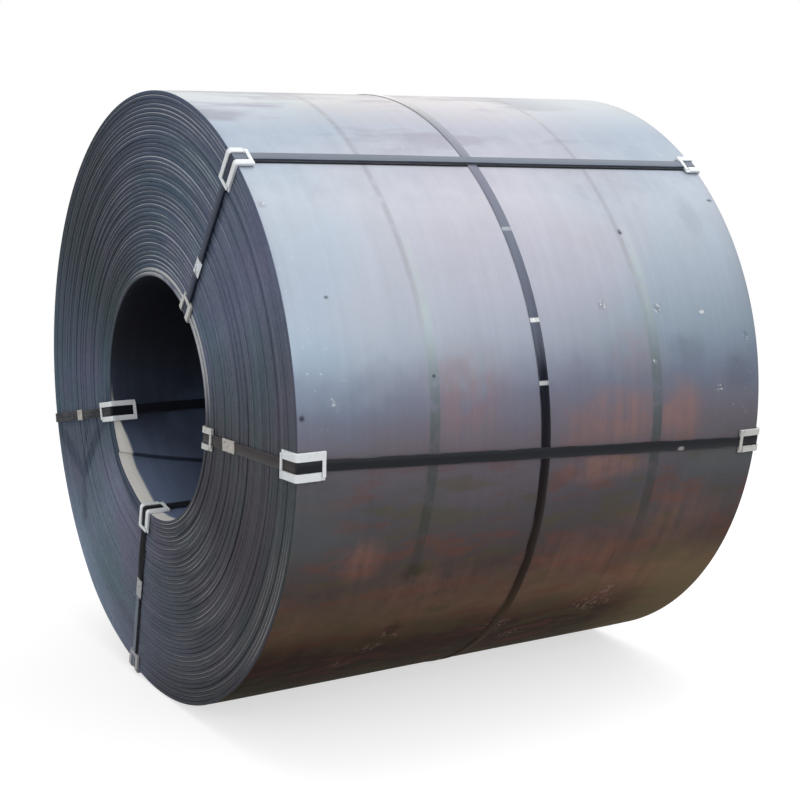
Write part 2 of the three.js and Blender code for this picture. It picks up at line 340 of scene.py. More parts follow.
class Shader:
    """The node tree of a material or a world, under construction."""

    def __init__(self, owner: bpy.types.ID) -> None:
        """Empties the node tree of a new material or world."""
        owner.use_nodes = True
        self.owner = owner
        self.tree = owner.node_tree
        self.tree.nodes.clear()

    def node(
        self,
        kind: str,
        settings: dict[str, object] | None = None,
        inputs: dict[str | int, object] | None = None,
        output: str | int = 0,
    ) -> Value:
        """Adds a node.

        Args:
            kind: The node's Blender type.
            settings: Properties set first; "stops" fills a colour ramp with places and colours.
            inputs: A value, or a Value to link, for each socket by name or number.
            output: The output socket to return.

        Returns:
            The chosen output.
        """
        made = self.tree.nodes.new(kind)
        for key, setting in (settings or {}).items():
            if key == "stops":
                self.fill_ramp(made.color_ramp, setting)
            else:
                setattr(made, key, setting)
        for key, given in (inputs or {}).items():
            socket = made.inputs[key]
            if isinstance(given, Value):
                self.tree.links.new(given.socket, socket)
            elif isinstance(given, tuple) and socket.type == "RGBA":
                socket.default_value = (*given, 1.0)
            else:
                socket.default_value = given
        return Value(self, made.outputs[output])

    def ramp(self, place: Value, shades: Shades, first: float = 0.0) -> Value:
        """The colour between shades by clock angle, at a place from 0 at the first one to 1 at 180."""
        stops = [((clock - first) / (HALF_TURN - first), colour) for clock, colour in shades]
        return self.node("ShaderNodeValToRGB", {"stops": stops}, {"Fac": place})

    @staticmethod
    def fill_ramp(ramp: bpy.types.ColorRamp, stops: list[tuple[float, Colour]]) -> None:
        """Puts the stops into a colour ramp."""
        while len(ramp.elements) > len(stops):
            ramp.elements.remove(ramp.elements[-1])
        while len(ramp.elements) < len(stops):
            ramp.elements.new(1.0)
        for element, (place, colour) in zip(ramp.elements, stops, strict=True):
            element.position = place
            element.color = (*colour, 1.0)

    def noise(self, vector: Value, size: float = 1.0, detail: float = 3.0) -> Value:
        """Noise from 0 to 1, mostly near a half, whose features are about size across."""
        inputs = {"Vector": vector, "Scale": 1.0 / size, "Detail": detail}
        inputs["Roughness"] = NOISE_ROUGHNESS
        return self.node("ShaderNodeTexNoise", {}, inputs, "Fac")

    def mark(self, name: str) -> Value:
        """A number written on the mesh by this name."""
        return self.node("ShaderNodeAttribute", {"attribute_name": name}, {}, "Fac")

    def stretched(self, vector: Value, scale: Vector, detail: float) -> Value:
        """Noise whose features are about 1 / scale across along each coordinate."""
        inputs = {0: vector, 1: scale}
        scaled = self.node("ShaderNodeVectorMath", {"operation": "MULTIPLY"}, inputs)
        return self.noise(scaled, detail=detail)

    def joined(self, x: Value | float, y: Value | float, z: Value | float) -> Value:
        """A vector of three numbers."""
        return self.node("ShaderNodeCombineXYZ", {}, {"X": x, "Y": y, "Z": z})

    def mixed(
        self, share: Value | float, first: Value | Colour, second: Value | Colour, kind: str = "MIX"
    ) -> Value:
        """The first colour, with this share of the second mixed in."""
        inputs = {MIX_FACTOR: share, MIX_FIRST: first, MIX_SECOND: second}
        settings = {"data_type": "RGBA", "blend_type": kind}
        return self.node("ShaderNodeMix", settings, inputs, MIX_RESULT)

    def layered(
        self, colour: Value | Colour, *layers: tuple[Value | float, Value | Colour]
    ) -> Value:
        """A colour under layers, lowest first, each a share and the colour that it mixes in."""
        for share, over in layers:
            colour = self.mixed(share, colour, over)
        return colour

    def tinted(self, share: Value | float, colour: Value, tint: Colour) -> Value:
        """A colour, with this share of it multiplied by a tint."""
        return self.mixed(share, colour, tint, "MULTIPLY")

    def toned(self, colour: Value, tone: Value) -> Value:
        """A colour with its brightness multiplied by a number."""
        inputs = {"Vector": colour, "Scale": tone}
        return self.node("ShaderNodeVectorMath", {"operation": "SCALE"}, inputs)

    def relief(self, height: Value, depth: float) -> Value:
        """A normal tilted by a height from 0 to 1 that stands for this depth in metres."""
        return self.node("ShaderNodeBump", {}, {"Height": height, "Distance": depth})

    def surface(self, **values: Value | float) -> Material:
        """Ends the material with a Principled surface that has these values, by SOCKETS' words."""
        sockets = {SOCKETS[word]: value for word, value in values.items()}
        return self.ended(self.node("ShaderNodeBsdfPrincipled", {}, sockets))

    def ended(self, shine: Value, kind: str = "ShaderNodeOutputMaterial") -> bpy.types.ID:
        """Joins a surface to the output node of the given kind and returns what it belongs to."""
        output = self.tree.nodes.new(kind)
        self.tree.links.new(shine.socket, output.inputs["Surface"])
        return self.owner


NEAR_HALF = (0.1, -0.1)


class CoilSpace:
    """Object coordinates measured about the coil's axis."""

    def __init__(self, shader: Shader) -> None:
        """Adds the nodes that measure along, clock and radius, and the direction from the axis."""
        place = shader.node("ShaderNodeTexCoord", {}, {}, "Object")
        centred = {"Vector": place, "Location": (0.0, 0.0, -AXIS_HEIGHT)}
        self.vector = shader.node("ShaderNodeMapping", {}, centred)
        self.along = shader.node("ShaderNodeSeparateXYZ", {}, {"Vector": self.vector}, "X")
        right, up = self.along.also("Y"), self.along.also("Z")
        self.clock = right.maths("ARCTAN2", -right, up) * math.degrees(1.0)
        self.radius = (right * right + up * up) ** 0.5
        self.sideways = right / self.radius
        self.upwards = up / self.radius
        self.shader = shader

    def girth(self) -> Value:
        """Metres round the barrel from straight up."""
        return self.clock * (math.radians(1.0) * WoundStrip.barrel_radius)

    def unrolled(self) -> Value:
        """Metres along the coil and metres round it."""
        return self.shader.joined(self.along, self.girth(), 0.0)

    def near_half(self) -> Value:
        """1 on the near half of the coil and 0 on the far half."""
        return self.along.rise(*NEAR_HALF)

    def sector(self, clock: float, start: float, full: float) -> Value:
        """0 where the cosine to the clock angle is at its start, and 1 where it is full."""
        cosine, sine = math.cos(math.radians(clock)), math.sin(math.radians(clock))
        return (self.upwards * cosine - self.sideways * sine).rise(start, full)

    def ringed(self, ring: Value, reach: float) -> Value:
        """A place for noise that changes with the ring, and seamlessly round the coil."""
        return self.shader.joined(ring, self.sideways * reach, self.upwards * reach)


# ---- finishes


PATCH_CORE = 0.2
STREAK_CORE = 0.3


@dataclass(frozen=True)
class Patch:
    """An oval patch of the barrel: its middle, and its half sizes along and round the coil."""

    clock: float
    along: float
    half_along: float
    half_round: float
    strength: float = 1.0

    def mask(self, unrolled: Value) -> Value:
        """The patch's strength at its middle, falling to 0 at its half sizes.

        Args:
            unrolled: Metres along the coil and metres round it from straight up.

        Returns:
            A mask from 0 to the strength.
        """
        shader = unrolled.shader
        centre = (self.along, math.radians(self.clock) * WoundStrip.barrel_radius, 0.0)
        inverse = (1.0 / self.half_along, 1.0 / self.half_round, 0.0)
        offset = tuple(-c * i for c, i in zip(centre, inverse, strict=True))
        inputs = {0: unrolled, 1: inverse, 2: offset}
        near = shader.node("ShaderNodeVectorMath", {"operation": "MULTIPLY_ADD"}, inputs)
        length = shader.node("ShaderNodeVectorMath", {"operation": "LENGTH"}, {0: near}, "Value")
        return length.rise(1.0, PATCH_CORE) * self.strength


Patches = tuple[Patch, ...]


def patched(unrolled: Value, patches: Patches) -> Value:
    """The strongest of several patches."""
    return strongest(patch.mask(unrolled) for patch in patches)


@dataclass(frozen=True)
class Streak:
    """A straight streak on an end: where it starts and stops, across and above the coil's axis."""

    start: tuple[float, float]
    stop: tuple[float, float]
    half_width: float
    strength: float = 1.0

    def mask(self, across: Value, above: Value) -> Value:
        """The streak's strength on its line, falling to 0 at its half width.

        The line's nearest point is a share of the run from start to stop: the dot product with the
        run over the run's length squared, kept from 0 to 1.

        Args:
            across: Metres across the coil's axis.
            above: Metres above it.

        Returns:
            A mask from 0 to the strength.
        """
        run = (self.stop[0] - self.start[0], self.stop[1] - self.start[1])
        right = across - self.start[0]
        up = above - self.start[1]
        share = (right * run[0] + up * run[1]) / (run[0] ** 2 + run[1] ** 2)
        share = share.most(0.0).least(1.0)
        right = right - share * run[0]
        up = up - share * run[1]
        gap = (right * right + up * up) ** 0.5
        return gap.rise(self.half_width, self.half_width * STREAK_CORE) * self.strength


class BarrelSpace(CoilSpace):
    """The coil's coordinates, with the noises that the barrel's finish is made of."""

    def __init__(self, shader: Shader) -> None:
        """Adds the noises, the shifted clock angle and the unrolled barrel.

        Streaks run round the coil, because their noise is stretched far more round it than along.
        The clock angle is shifted by noise so that shades change raggedly, and the unrolled barrel
        is warped by noise so that patches get ragged outlines.
        """
        super().__init__(shader)
        self.streaks = shader.stretched(self.vector, (34.0, 0.9, 0.9), 5.0)
        self.fine_streaks = shader.stretched(self.vector, (160.0, 3.0, 3.0), 3.0)
        self.clouds = shader.noise(self.vector, 0.42, 4.0)
        self.cross_clouds = shader.stretched(self.vector, (1.6, 6.0, 6.0), 4.0)
        self.sheets = shader.stretched(self.vector, (1.5, 2.2, 2.2), 2.0)
        self.blotches = shader.stretched(self.vector, (4.5, 16.0, 16.0), 4.0)
        self.mottle = shader.noise(self.vector, 0.06, 5.0)
        self.grain = shader.noise(self.vector, 0.0035, 3.0)
        self.side = abs(self.clock)
        self.shifted = self.side + self.mottle.swing(7.0) + self.clouds.swing(10.0)
        self.lower = self.side.rise(90.0, 102.0)
        self.plain = self.unrolled()
        self.warped = shader.joined(
            self.along + self.mottle.swing(0.09),
            self.girth() + self.clouds.swing(0.05) + self.mottle.swing(0.06),
            0.0,
        )


@dataclass(frozen=True)
class MillScale:
    """The barrel: blue-grey mill scale, rusty and dull below, with ghosts of earlier straps and
    painted light and shade.

    The shades are the scale's colours by clock angle, the same on both sides, with painted light
    and shade in them: pale towards the top and dark towards the bottom. The ghosts' shades darken
    the same way. Each ghost is the place along of its middle and half its width. A painted shadow
    lies below the upper strap, whose middle has the clock angle upper_clock halfway along the coil
    and turns from it by upper_slant degrees a metre. Each span is where a mask is 0 and where it
    is 1, in degrees or metres.
    """

    # The shades hold painted light and shade besides the scale's colour: pale towards the top, dark
    # towards the bottom, and browner low down.
    shades: Shades = (
        (14.0, (0.455, 0.45, 0.455)), (30.0, (0.33, 0.355, 0.415)),
        (50.0, (0.395, 0.405, 0.45)), (66.0, (0.315, 0.335, 0.39)),
        (76.0, (0.235, 0.27, 0.32)), (84.0, (0.155, 0.17, 0.225)),
        (92.0, (0.145, 0.13, 0.155)), (104.0, (0.09, 0.085, 0.095)),
        (116.0, (0.085, 0.065, 0.06)), (126.0, (0.165, 0.105, 0.07)),
        (136.0, (0.055, 0.033, 0.026)), (152.0, (0.037, 0.031, 0.018)),
    )
    lilac: Colour = (0.2, 0.182, 0.225)
    cyan_tint: Colour = (0.93, 1.005, 1.03)
    pink_tint: Colour = (1.02, 0.985, 1.0)
    teal: Colour = (0.095, 0.108, 0.118)
    olive: Colour = (0.2, 0.15, 0.085)
    moss: Colour = (0.095, 0.082, 0.045)
    russet: Colour = (0.15, 0.062, 0.045)
    # The ghosts' shades darken towards the bottom with the same painted shade.
    ghost_shades: Shades = (
        (52.0, (0.42, 0.45, 0.46)), (72.0, (0.26, 0.31, 0.32)),
        (82.0, (0.115, 0.145, 0.15)), (94.0, (0.06, 0.075, 0.075)),
        (104.0, (0.05, 0.053, 0.05)), (120.0, (0.05, 0.044, 0.036)),
    )
    stain: Colour = (0.17, 0.165, 0.165)
    rust: Colour = (0.36, 0.17, 0.13)
    crumb: Colour = (0.31, 0.2, 0.175)
    upper_clock: float = 39.55
    upper_slant: float = 1.74
    metallic: float = 0.58
    roughness: float = 0.38
    specular: float = 0.06
    relief: float = 0.6 * MM
    dull_span: Span = (74.0, 98.0)
    lilac_sides: Span = (46.0, 24.0)
    lilac_along: Span = (0.7, 0.25)
    cyan_middle: float = -0.08
    cyan_reach: Span = (0.34, 0.62)
    cyan_sides: Span = (98.0, 78.0)
    pink_middle: float = 0.02
    pink_reach: Span = (0.4, 0.1)
    teal_near: Span = (-0.5, -0.76)
    teal_near_sides: Span = (114.0, 104.0)
    teal_far: Span = (0.5, 0.72)
    teal_far_sides: Span = (108.0, 100.0)
    olive_along: Span = (0.4, 0.7)
    olive_sides: Span = (116.0, 130.0)
    ghost_low_from: Span = (46.0, 72.0)
    ghost_low_to: Span = (128.0, 102.0)
    ghost_high: Span = (84.0, 60.0)
    slate: Colour = (0.1, 0.11, 0.15)
    dirt: Colour = (0.028, 0.022, 0.017)
    chip: Colour = (0.75, 0.75, 0.76)
    rust_patches: Patches = (
        Patch(90.4, 0.267, 0.2, 0.13, 0.8), Patch(91.0, 0.492, 0.12, 0.14, 0.9),
        Patch(84.0, -0.271, 0.19, 0.2, 0.5), Patch(92.0, 0.12, 0.12, 0.1, 0.5),
        Patch(80.0, 0.337, 0.14, 0.13, 0.3), Patch(99.5, 0.224, 0.2, 0.06, 0.8),
        Patch(111.5, -0.575, 0.09, 0.1, 0.65), Patch(112.7, 0.526, 0.28, 0.16, 0.4),
        Patch(120.0, -0.3, 0.25, 0.14, 0.35), Patch(118.0, 0.22, 0.32, 0.14, 0.5),
        Patch(127.0, 0.42, 0.28, 0.12, 0.5), Patch(-84.0, 0.3, 0.3, 0.22, 0.6),
        Patch(-96.0, -0.42, 0.24, 0.2, 0.5), Patch(-118.0, 0.05, 0.45, 0.16, 0.4),
    )
    crumb_patches: Patches = (
        Patch(133.6, 0.375, 0.11, 0.06), Patch(129.8, 0.42, 0.05, 0.04),
        Patch(135.8, 0.028, 0.07, 0.05, 0.9), Patch(141.5, 0.127, 0.06, 0.05, 0.8),
        Patch(131.3, -0.387, 0.06, 0.04, 0.8), Patch(135.0, -0.43, 0.06, 0.04, 0.7),
        Patch(140.5, -0.5, 0.05, 0.05, 0.7), Patch(-134.0, 0.2, 0.1, 0.05, 0.8),
        Patch(-128.0, -0.3, 0.06, 0.05, 0.7),
    )
    slate_patches: Patches = (
        Patch(23.0, -0.3, 0.45, 0.2, 0.15), Patch(53.6, 0.67, 0.05, 0.12, 0.22),
        Patch(79.7, 0.526, 0.09, 0.08, 0.35), Patch(84.5, 0.721, 0.08, 0.09, 0.45),
        Patch(56.6, 0.379, 0.014, 0.014, 0.9),
    )
    dirt_patches: Patches = (
        Patch(115.4, -0.401, 0.055, 0.045, 0.7), Patch(129.4, -0.389, 0.045, 0.06, 0.8),
        Patch(137.5, -0.402, 0.055, 0.07, 0.8), Patch(-122.0, 0.38, 0.06, 0.05, 0.7),
    )
    scuff_patches: Patches = (
        Patch(70.4, 0.225, 0.024, 0.02), Patch(71.6, 0.433, 0.024, 0.022),
        Patch(72.9, 0.602, 0.022, 0.015), Patch(81.1, 0.394, 0.018, 0.014, 0.9),
        Patch(87.0, 0.646, 0.022, 0.017, 0.9), Patch(77.8, 0.766, 0.014, 0.028, 0.9),
        Patch(49.0, -0.79, 0.022, 0.018, 0.8),
    )
    fleck_patches: Patches = (
        Patch(66.0, -0.775, 0.06, 0.4, 0.9), Patch(80.0, -0.72, 0.1, 0.16, 0.8),
        Patch(88.0, 0.72, 0.1, 0.16, 0.5), Patch(30.0, -0.3, 0.3, 0.2, 0.4),
    )
    pit_patches: Patches = (
        Patch(85.3, -0.793, 0.012, 0.012, 0.9), Patch(56.8, 0.37, 0.008, 0.008, 0.9),
        Patch(80.4, -0.383, 0.008, 0.008, 0.9), Patch(66.3, -0.679, 0.01, 0.007, 0.8),
        Patch(50.0, 0.787, 0.016, 0.008, 0.8),
    )

    def build(self) -> Material:
        """Makes the material.

        Returns:
            The material.
        """
        shader = Shader(bpy.data.materials.new("mill_scale"))
        space = BarrelSpace(shader)
        ghosts, stains = self.ghosts(space)
        rusty = (space.mottle * 0.5 + space.streaks * 0.5).rise(0.28, 0.6)
        spots = shader.stretched(space.plain, (52.0, 24.0, 1.0), 2.0)
        grit = shader.stretched(space.plain, (60.0, 44.0, 1.0), 2.0)
        chips = shader.stretched(space.warped, (120.0, 80.0, 1.0), 2.0)
        flecks = shader.stretched(space.warped, (95.0, 40.0, 1.0), 3.0).rise(0.655, 0.7)
        flecks = patched(space.plain, self.fleck_patches) * flecks
        dents = patched(space.plain, self.scuff_patches)
        dirty = (space.mottle * 0.5 + spots * 0.5).rise(0.36, 0.52)
        rust = patched(space.warped, self.rust_patches) * rusty * (1.0 - ghosts)
        crumbs = patched(space.warped, self.crumb_patches) * grit.rise(0.5, 0.6)
        slates = patched(space.warped, self.slate_patches) * (0.6 + 0.4 * space.mottle)
        dirt = patched(space.warped, self.dirt_patches) * dirty
        scuffs = (dents * chips.rise(0.5, 0.6)).most(flecks * 0.8)
        pits = patched(space.plain, self.pit_patches)
        colour = shader.layered(
            self.clean(space),
            (ghosts * 0.75, shader.ramp(space.side * (1.0 / HALF_TURN), self.ghost_shades)),
            (stains * 0.32, self.stain),
            (rust * 0.5, self.rust),
            (slates, self.slate),
            (dirt * 0.7, self.dirt),
            (crumbs * 0.7, self.crumb),
            (scuffs * 0.6, self.chip),
        )
        dull = space.shifted.rise(*self.dull_span)
        metallic = self.metallic * (1.0 - dull * 0.88) * (1.0 - rust * 0.7)
        roughness = self.roughness + dull * 0.24 + space.side.rise(108.0, 134.0) * 0.22
        roughness = roughness + rust * 0.14 + space.fine_streaks.swing(0.12)
        roughness = roughness + space.mottle.swing(0.1) - ghosts * 0.08
        height = space.grain * 0.5 + space.fine_streaks * 0.25 + crumbs * 0.5 - pits * 0.6
        tone = self.tone(space) * (1.0 - pits * 0.8) * (1.0 - dents * (1.0 - scuffs) * 0.25)
        return shader.surface(
            colour=shader.toned(colour, self.under_strap_shadow(space, tone)),
            metallic=metallic * (1.0 - scuffs * 0.6),
            roughness=roughness,
            normal=shader.relief(height, self.relief),
            specular=self.specular,
        )

    def ghosts(self, space: BarrelSpace) -> tuple[Value, Value]:
        """Where two earlier straps lay round the barrel, and the thin stain along each of them.

        The first wavers as a cosine of the clock angle, and the second drifts with it.

        Args:
            space: The barrel's coordinates and noises.

        Returns:
            The masks of the bands, lower down, and of the stains, higher up.
        """
        turn = (space.clock - 40.0) * (2.0 * math.pi / 78.0)
        first = -0.392 - 0.008 * turn.maths("COSINE", turn)
        second = 0.37 + 0.03 * space.clock.rise(30.0, 92.0)
        straps = ((first, 0.0165), (second, 0.0185))
        bands = strongest(space.along.band(mid, half - 0.004, 0.008) for mid, half in straps)
        stains = strongest(space.along.band(mid - half, 0.003, 0.012) for mid, half in straps)
        shown = space.mottle.rise(0.28, 0.54)
        low = space.side.rise(*self.ghost_low_from) * space.side.rise(*self.ghost_low_to)
        return bands * shown * low, stains * shown * space.side.rise(*self.ghost_high)

    def clean(self, space: BarrelSpace) -> Value:
        """The scale's colour, with painted light and shade in its shades by clock angle, and clouds of
        other tints over them.

        Args:
            space: The barrel's coordinates and noises.

        Returns:
            The colour.
        """
        shader, side, along = space.shader, space.side, space.along
        lilac = space.cross_clouds.rise(0.49, 0.62) * side.rise(*self.lilac_sides)
        lilac = lilac * along.rise(*self.lilac_along)
        cyan = (abs(along - self.cyan_middle) + space.sheets.swing(1.0)).rise(*self.cyan_reach)
        cyan = cyan * side.rise(*self.cyan_sides)
        pink = (abs(along - self.pink_middle) + space.sheets.swing(1.0)).rise(*self.pink_reach)
        wide = along + space.clouds.swing(0.9)
        teal = wide.rise(*self.teal_near) * side.rise(*self.teal_near_sides)
        teal = teal.most(wide.rise(*self.teal_far) * side.rise(*self.teal_far_sides))
        olive = (along + space.clouds.swing(0.5)).rise(*self.olive_along)
        olive = olive * side.rise(*self.olive_sides)
        colour = shader.ramp(space.shifted * (1.0 / HALF_TURN), self.shades)
        colour = shader.mixed(lilac * 0.6, colour, self.lilac)
        colour = shader.tinted(cyan, colour, self.cyan_tint)
        colour = shader.tinted(pink, colour, self.pink_tint)
        return shader.layered(
            colour,
            (space.blotches.rise(0.52, 0.62) * space.lower * 0.5, self.moss),
            (space.blotches.rise(0.47, 0.38) * space.lower * 0.45, self.russet),
            (teal * space.lower * 0.7, self.teal),
            (olive * 0.65, self.olive),
        )

    @staticmethod
    def tone(space: BarrelSpace) -> Value:
        """How bright the scale is: 1 plus the noises and a change along the coil.

        Args:
            space: The barrel's coordinates and noises.

        Returns:
            A number about 1.
        """
        tone = 1.0 + space.streaks.swing(0.16) + space.fine_streaks.swing(0.09)
        tone = tone + space.mottle.swing(0.22) + space.clouds.swing(0.25) + space.grain.swing(0.14)
        tone = tone + (space.cross_clouds - 0.5) * space.lower * 0.5
        lit = space.side.rise(118.0, 136.0) * 0.5 - space.side.rise(98.0, 80.0) * 0.06
        return tone + space.along * lit

    def under_strap_shadow(self, space: BarrelSpace, tone: Value) -> Value:
        """The tone, darkened by a painted shadow along the lower side of the upper strap."""
        # Painted shadow below the upper strap.
        middle = space.along * self.upper_slant + self.upper_clock
        line = (space.clock - middle).band(1.12, 0.15, 0.18) * abs(space.along).rise(0.78, 0.75)
        return tone * (1.0 - line * 0.9)


@dataclass(frozen=True)
class TurnEdges:
    """The strip's edges on the ends: dark blue scale, with a thin painted highlight along each turn's
    corner.

    Its shade goes by the clock angle, partly the scale's colour and partly painted sheen. The mark
    "place" runs from -1 to 1 through the thickness of a turn, outwards, and the mark "turn" counts
    the turns. Dark streaks run down the near end from the rear strap, with painted shadow along it
    and beside the upper strap. Painted shade lies on the edges deep in the end and on the turns by
    the bore's lower side, and the outer turns get painted shade on one side of the bottom and a
    painted highlight on the other. Each sector is a clock angle and the cosines to it where a mask
    starts and where it is full.
    """

    # The shades hold painted sheen as well as the scale's colour.
    shades: Shades = (
        (-180.0, (0.065, 0.07, 0.1)), (-135.0, (0.14, 0.175, 0.235)),
        (-110.0, (0.073, 0.096, 0.13)), (-92.0, (0.075, 0.1, 0.145)),
        (-60.0, (0.042, 0.055, 0.068)), (-30.0, (0.033, 0.04, 0.057)),
        (0.0, (0.055, 0.075, 0.12)), (62.0, (0.105, 0.125, 0.19)),
        (78.0, (0.07, 0.085, 0.115)), (95.0, (0.053, 0.057, 0.067)),
        (118.0, (0.04, 0.04, 0.048)), (156.0, (0.034, 0.041, 0.053)),
        (180.0, (0.065, 0.07, 0.1)),
    )
    teal_tint: Colour = (0.9, 1.04, 0.97)
    plum_tint: Colour = (1.09, 0.94, 1.01)
    # The corner line's two colours are painted highlights, warmer towards the bottom, the lip's colour
    # is a painted highlight, and the last colour is that of the dark streaks and of painted shadow.
    corner_highlight: Colour = (0.44, 0.455, 0.48)
    dust_and_light: Colour = (0.38, 0.365, 0.36)
    lip_highlight: Colour = (0.44, 0.44, 0.45)
    shadow_and_streak: Colour = (0.03, 0.045, 0.072)
    # The first four are dark streaks; the fifth is painted shadow along the rear strap and the sixth
    # painted shadow beside the upper strap.
    streaks: tuple[Streak, ...] = (
        Streak((0.9, -0.225), (0.66, -0.355), 0.042, 0.75),
        Streak((0.44, -0.12), (0.655, -0.36), 0.036, 0.85),
        Streak((0.61, -0.17), (0.66, -0.33), 0.02, 0.55),
        Streak((0.655, -0.35), (0.65, -0.5), 0.036, 0.55),
        Streak((0.94, -0.212), (0.365, -0.104), 0.04, 0.6),
        Streak((-0.535, 0.655), (-0.29, 0.335), 0.04, 0.7),
    )
    # Sectors where the painted corner highlight shows and where it takes its lower colour, where the
    # lip's painted highlight shows, where painted shade lies by the bore, and where the outer turns
    # get painted shade and painted highlight.
    lit_top: Sector = (-8.0, 0.45, 0.95)
    lit_foot: Sector = (174.0, 0.62, 0.92)
    lit_rim: Sector = (150.0, 0.6, 0.92)
    dusty_and_lit: Sector = (150.0, 0.3, 0.9)
    lip_lit: Sector = (35.0, 0.48, 0.95)
    shaded_bore_side: Sector = (-128.0, 0.74, 0.9)
    shaded_rim: Sector = (162.0, 0.86, 0.98)
    shining_rim: Sector = (-140.0, 0.8, 0.98)
    rim_span: Span = (0.8, 0.93)
    shaded_bore_span: Span = (0.44, 0.42)
    recess_shade_span: Span = (4.5 * MM, 9.0 * MM)

    def build(self) -> Material:
        """Makes the material.

        Each turn has its own tone, and its own painted highlight along its outer corner, which comes
        and goes round the coil and is strongest where light falls on the corners. Both are noise that
        changes from turn to turn and only slowly round it. The turn at the bore has a painted
        highlight on one side.

        Returns:
            The material.
        """
        shader = Shader(bpy.data.materials.new("turn_edges"))
        space = CoilSpace(shader)
        turn = shader.mark("turn")
        place = shader.mark("place")
        per_turn = shader.noise(space.ringed(turn * 0.83, 0.23), detail=1.0)
        arcs = shader.noise(space.ringed(turn * 0.71 + 40.0, 1.3), detail=3.0)
        clouds = shader.noise(space.vector, 0.33, 3.0)
        tints = shader.noise(space.ringed(turn * 0.1 + 90.0, 1.4), detail=3.0)
        grain = shader.noise(space.vector, 0.004, 4.0)
        specks = shader.noise(space.vector, 0.016, 3.0)
        # The corner line is a painted highlight, strongest where light falls on the corners.
        corner = place.band(0.72, 0.16, 0.08)
        rim = space.radius.rise(*self.rim_span)
        lit = space.sector(*self.lit_top).most(space.sector(*self.lit_foot) * 0.9)
        lit = lit.most(space.sector(*self.lit_rim) * rim * 0.7)
        shown = (arcs + grain.swing(0.16)).rise(0.34, 0.62) * (0.15 + 0.85 * lit)
        line = corner * shown * turn.rise(WoundStrip.turns, WoundStrip.turns - 1.0)
        lip_highlight = turn.rise(2.4, 1.4) * space.sector(*self.lip_lit) * arcs.rise(0.25, 0.5)
        half = WoundStrip.width / 2.0
        # Painted shade on the edges deep in the end.
        recess_shade = abs(space.along).rise(*(half - depth for depth in self.recess_shade_span))
        colour = shader.ramp(
            (space.clock + HALF_TURN) * (0.5 / HALF_TURN), self.shades, first=-HALF_TURN
        )
        colour = shader.tinted(tints.rise(0.5, 0.62), colour, self.teal_tint)
        colour = shader.tinted(clouds.rise(0.5, 0.64), colour, self.plum_tint)
        across = space.sideways * space.radius + clouds.swing(0.03)
        above = space.upwards * space.radius + specks.swing(0.02)
        shadow_and_streak = strongest(streak.mask(across, above) for streak in self.streaks)
        # Painted shade on the turns by the bore's lower side.
        bore_side_shade = space.radius.rise(*self.shaded_bore_span) * space.sector(*self.shaded_bore_side)
        colour = shader.layered(
            colour,
            (line * 0.72, shader.mixed(space.sector(*self.dusty_and_lit), self.corner_highlight, self.dust_and_light)),
            (lip_highlight * place.rise(-1.0, 0.1) * 0.85, self.lip_highlight),
            (shadow_and_streak * space.near_half() * (0.7 + 0.3 * arcs), self.shadow_and_streak),
            (bore_side_shade * space.near_half() * 0.85, self.shadow_and_streak),
        )
        # Painted shade and painted highlight on the outer turns.
        shade = rim * space.sector(*self.shaded_rim) * 0.45
        shine = rim * space.sector(*self.shining_rim) * 0.5
        tone = 1.0 + per_turn.swing(0.7) + grain.swing(0.4) + specks.swing(0.5)
        tone = (tone + clouds.swing(0.4)) * (1.0 - shade) * (1.0 + shine)
        return shader.surface(
            colour=shader.toned(colour, tone * (1.0 - recess_shade * 0.8)),
            metallic=0.1 + line * 0.3,
            roughness=0.58 - line * 0.1 + grain.swing(0.2),
            normal=shader.relief(grain, 0.4 * MM),
            specular=0.1,
        )


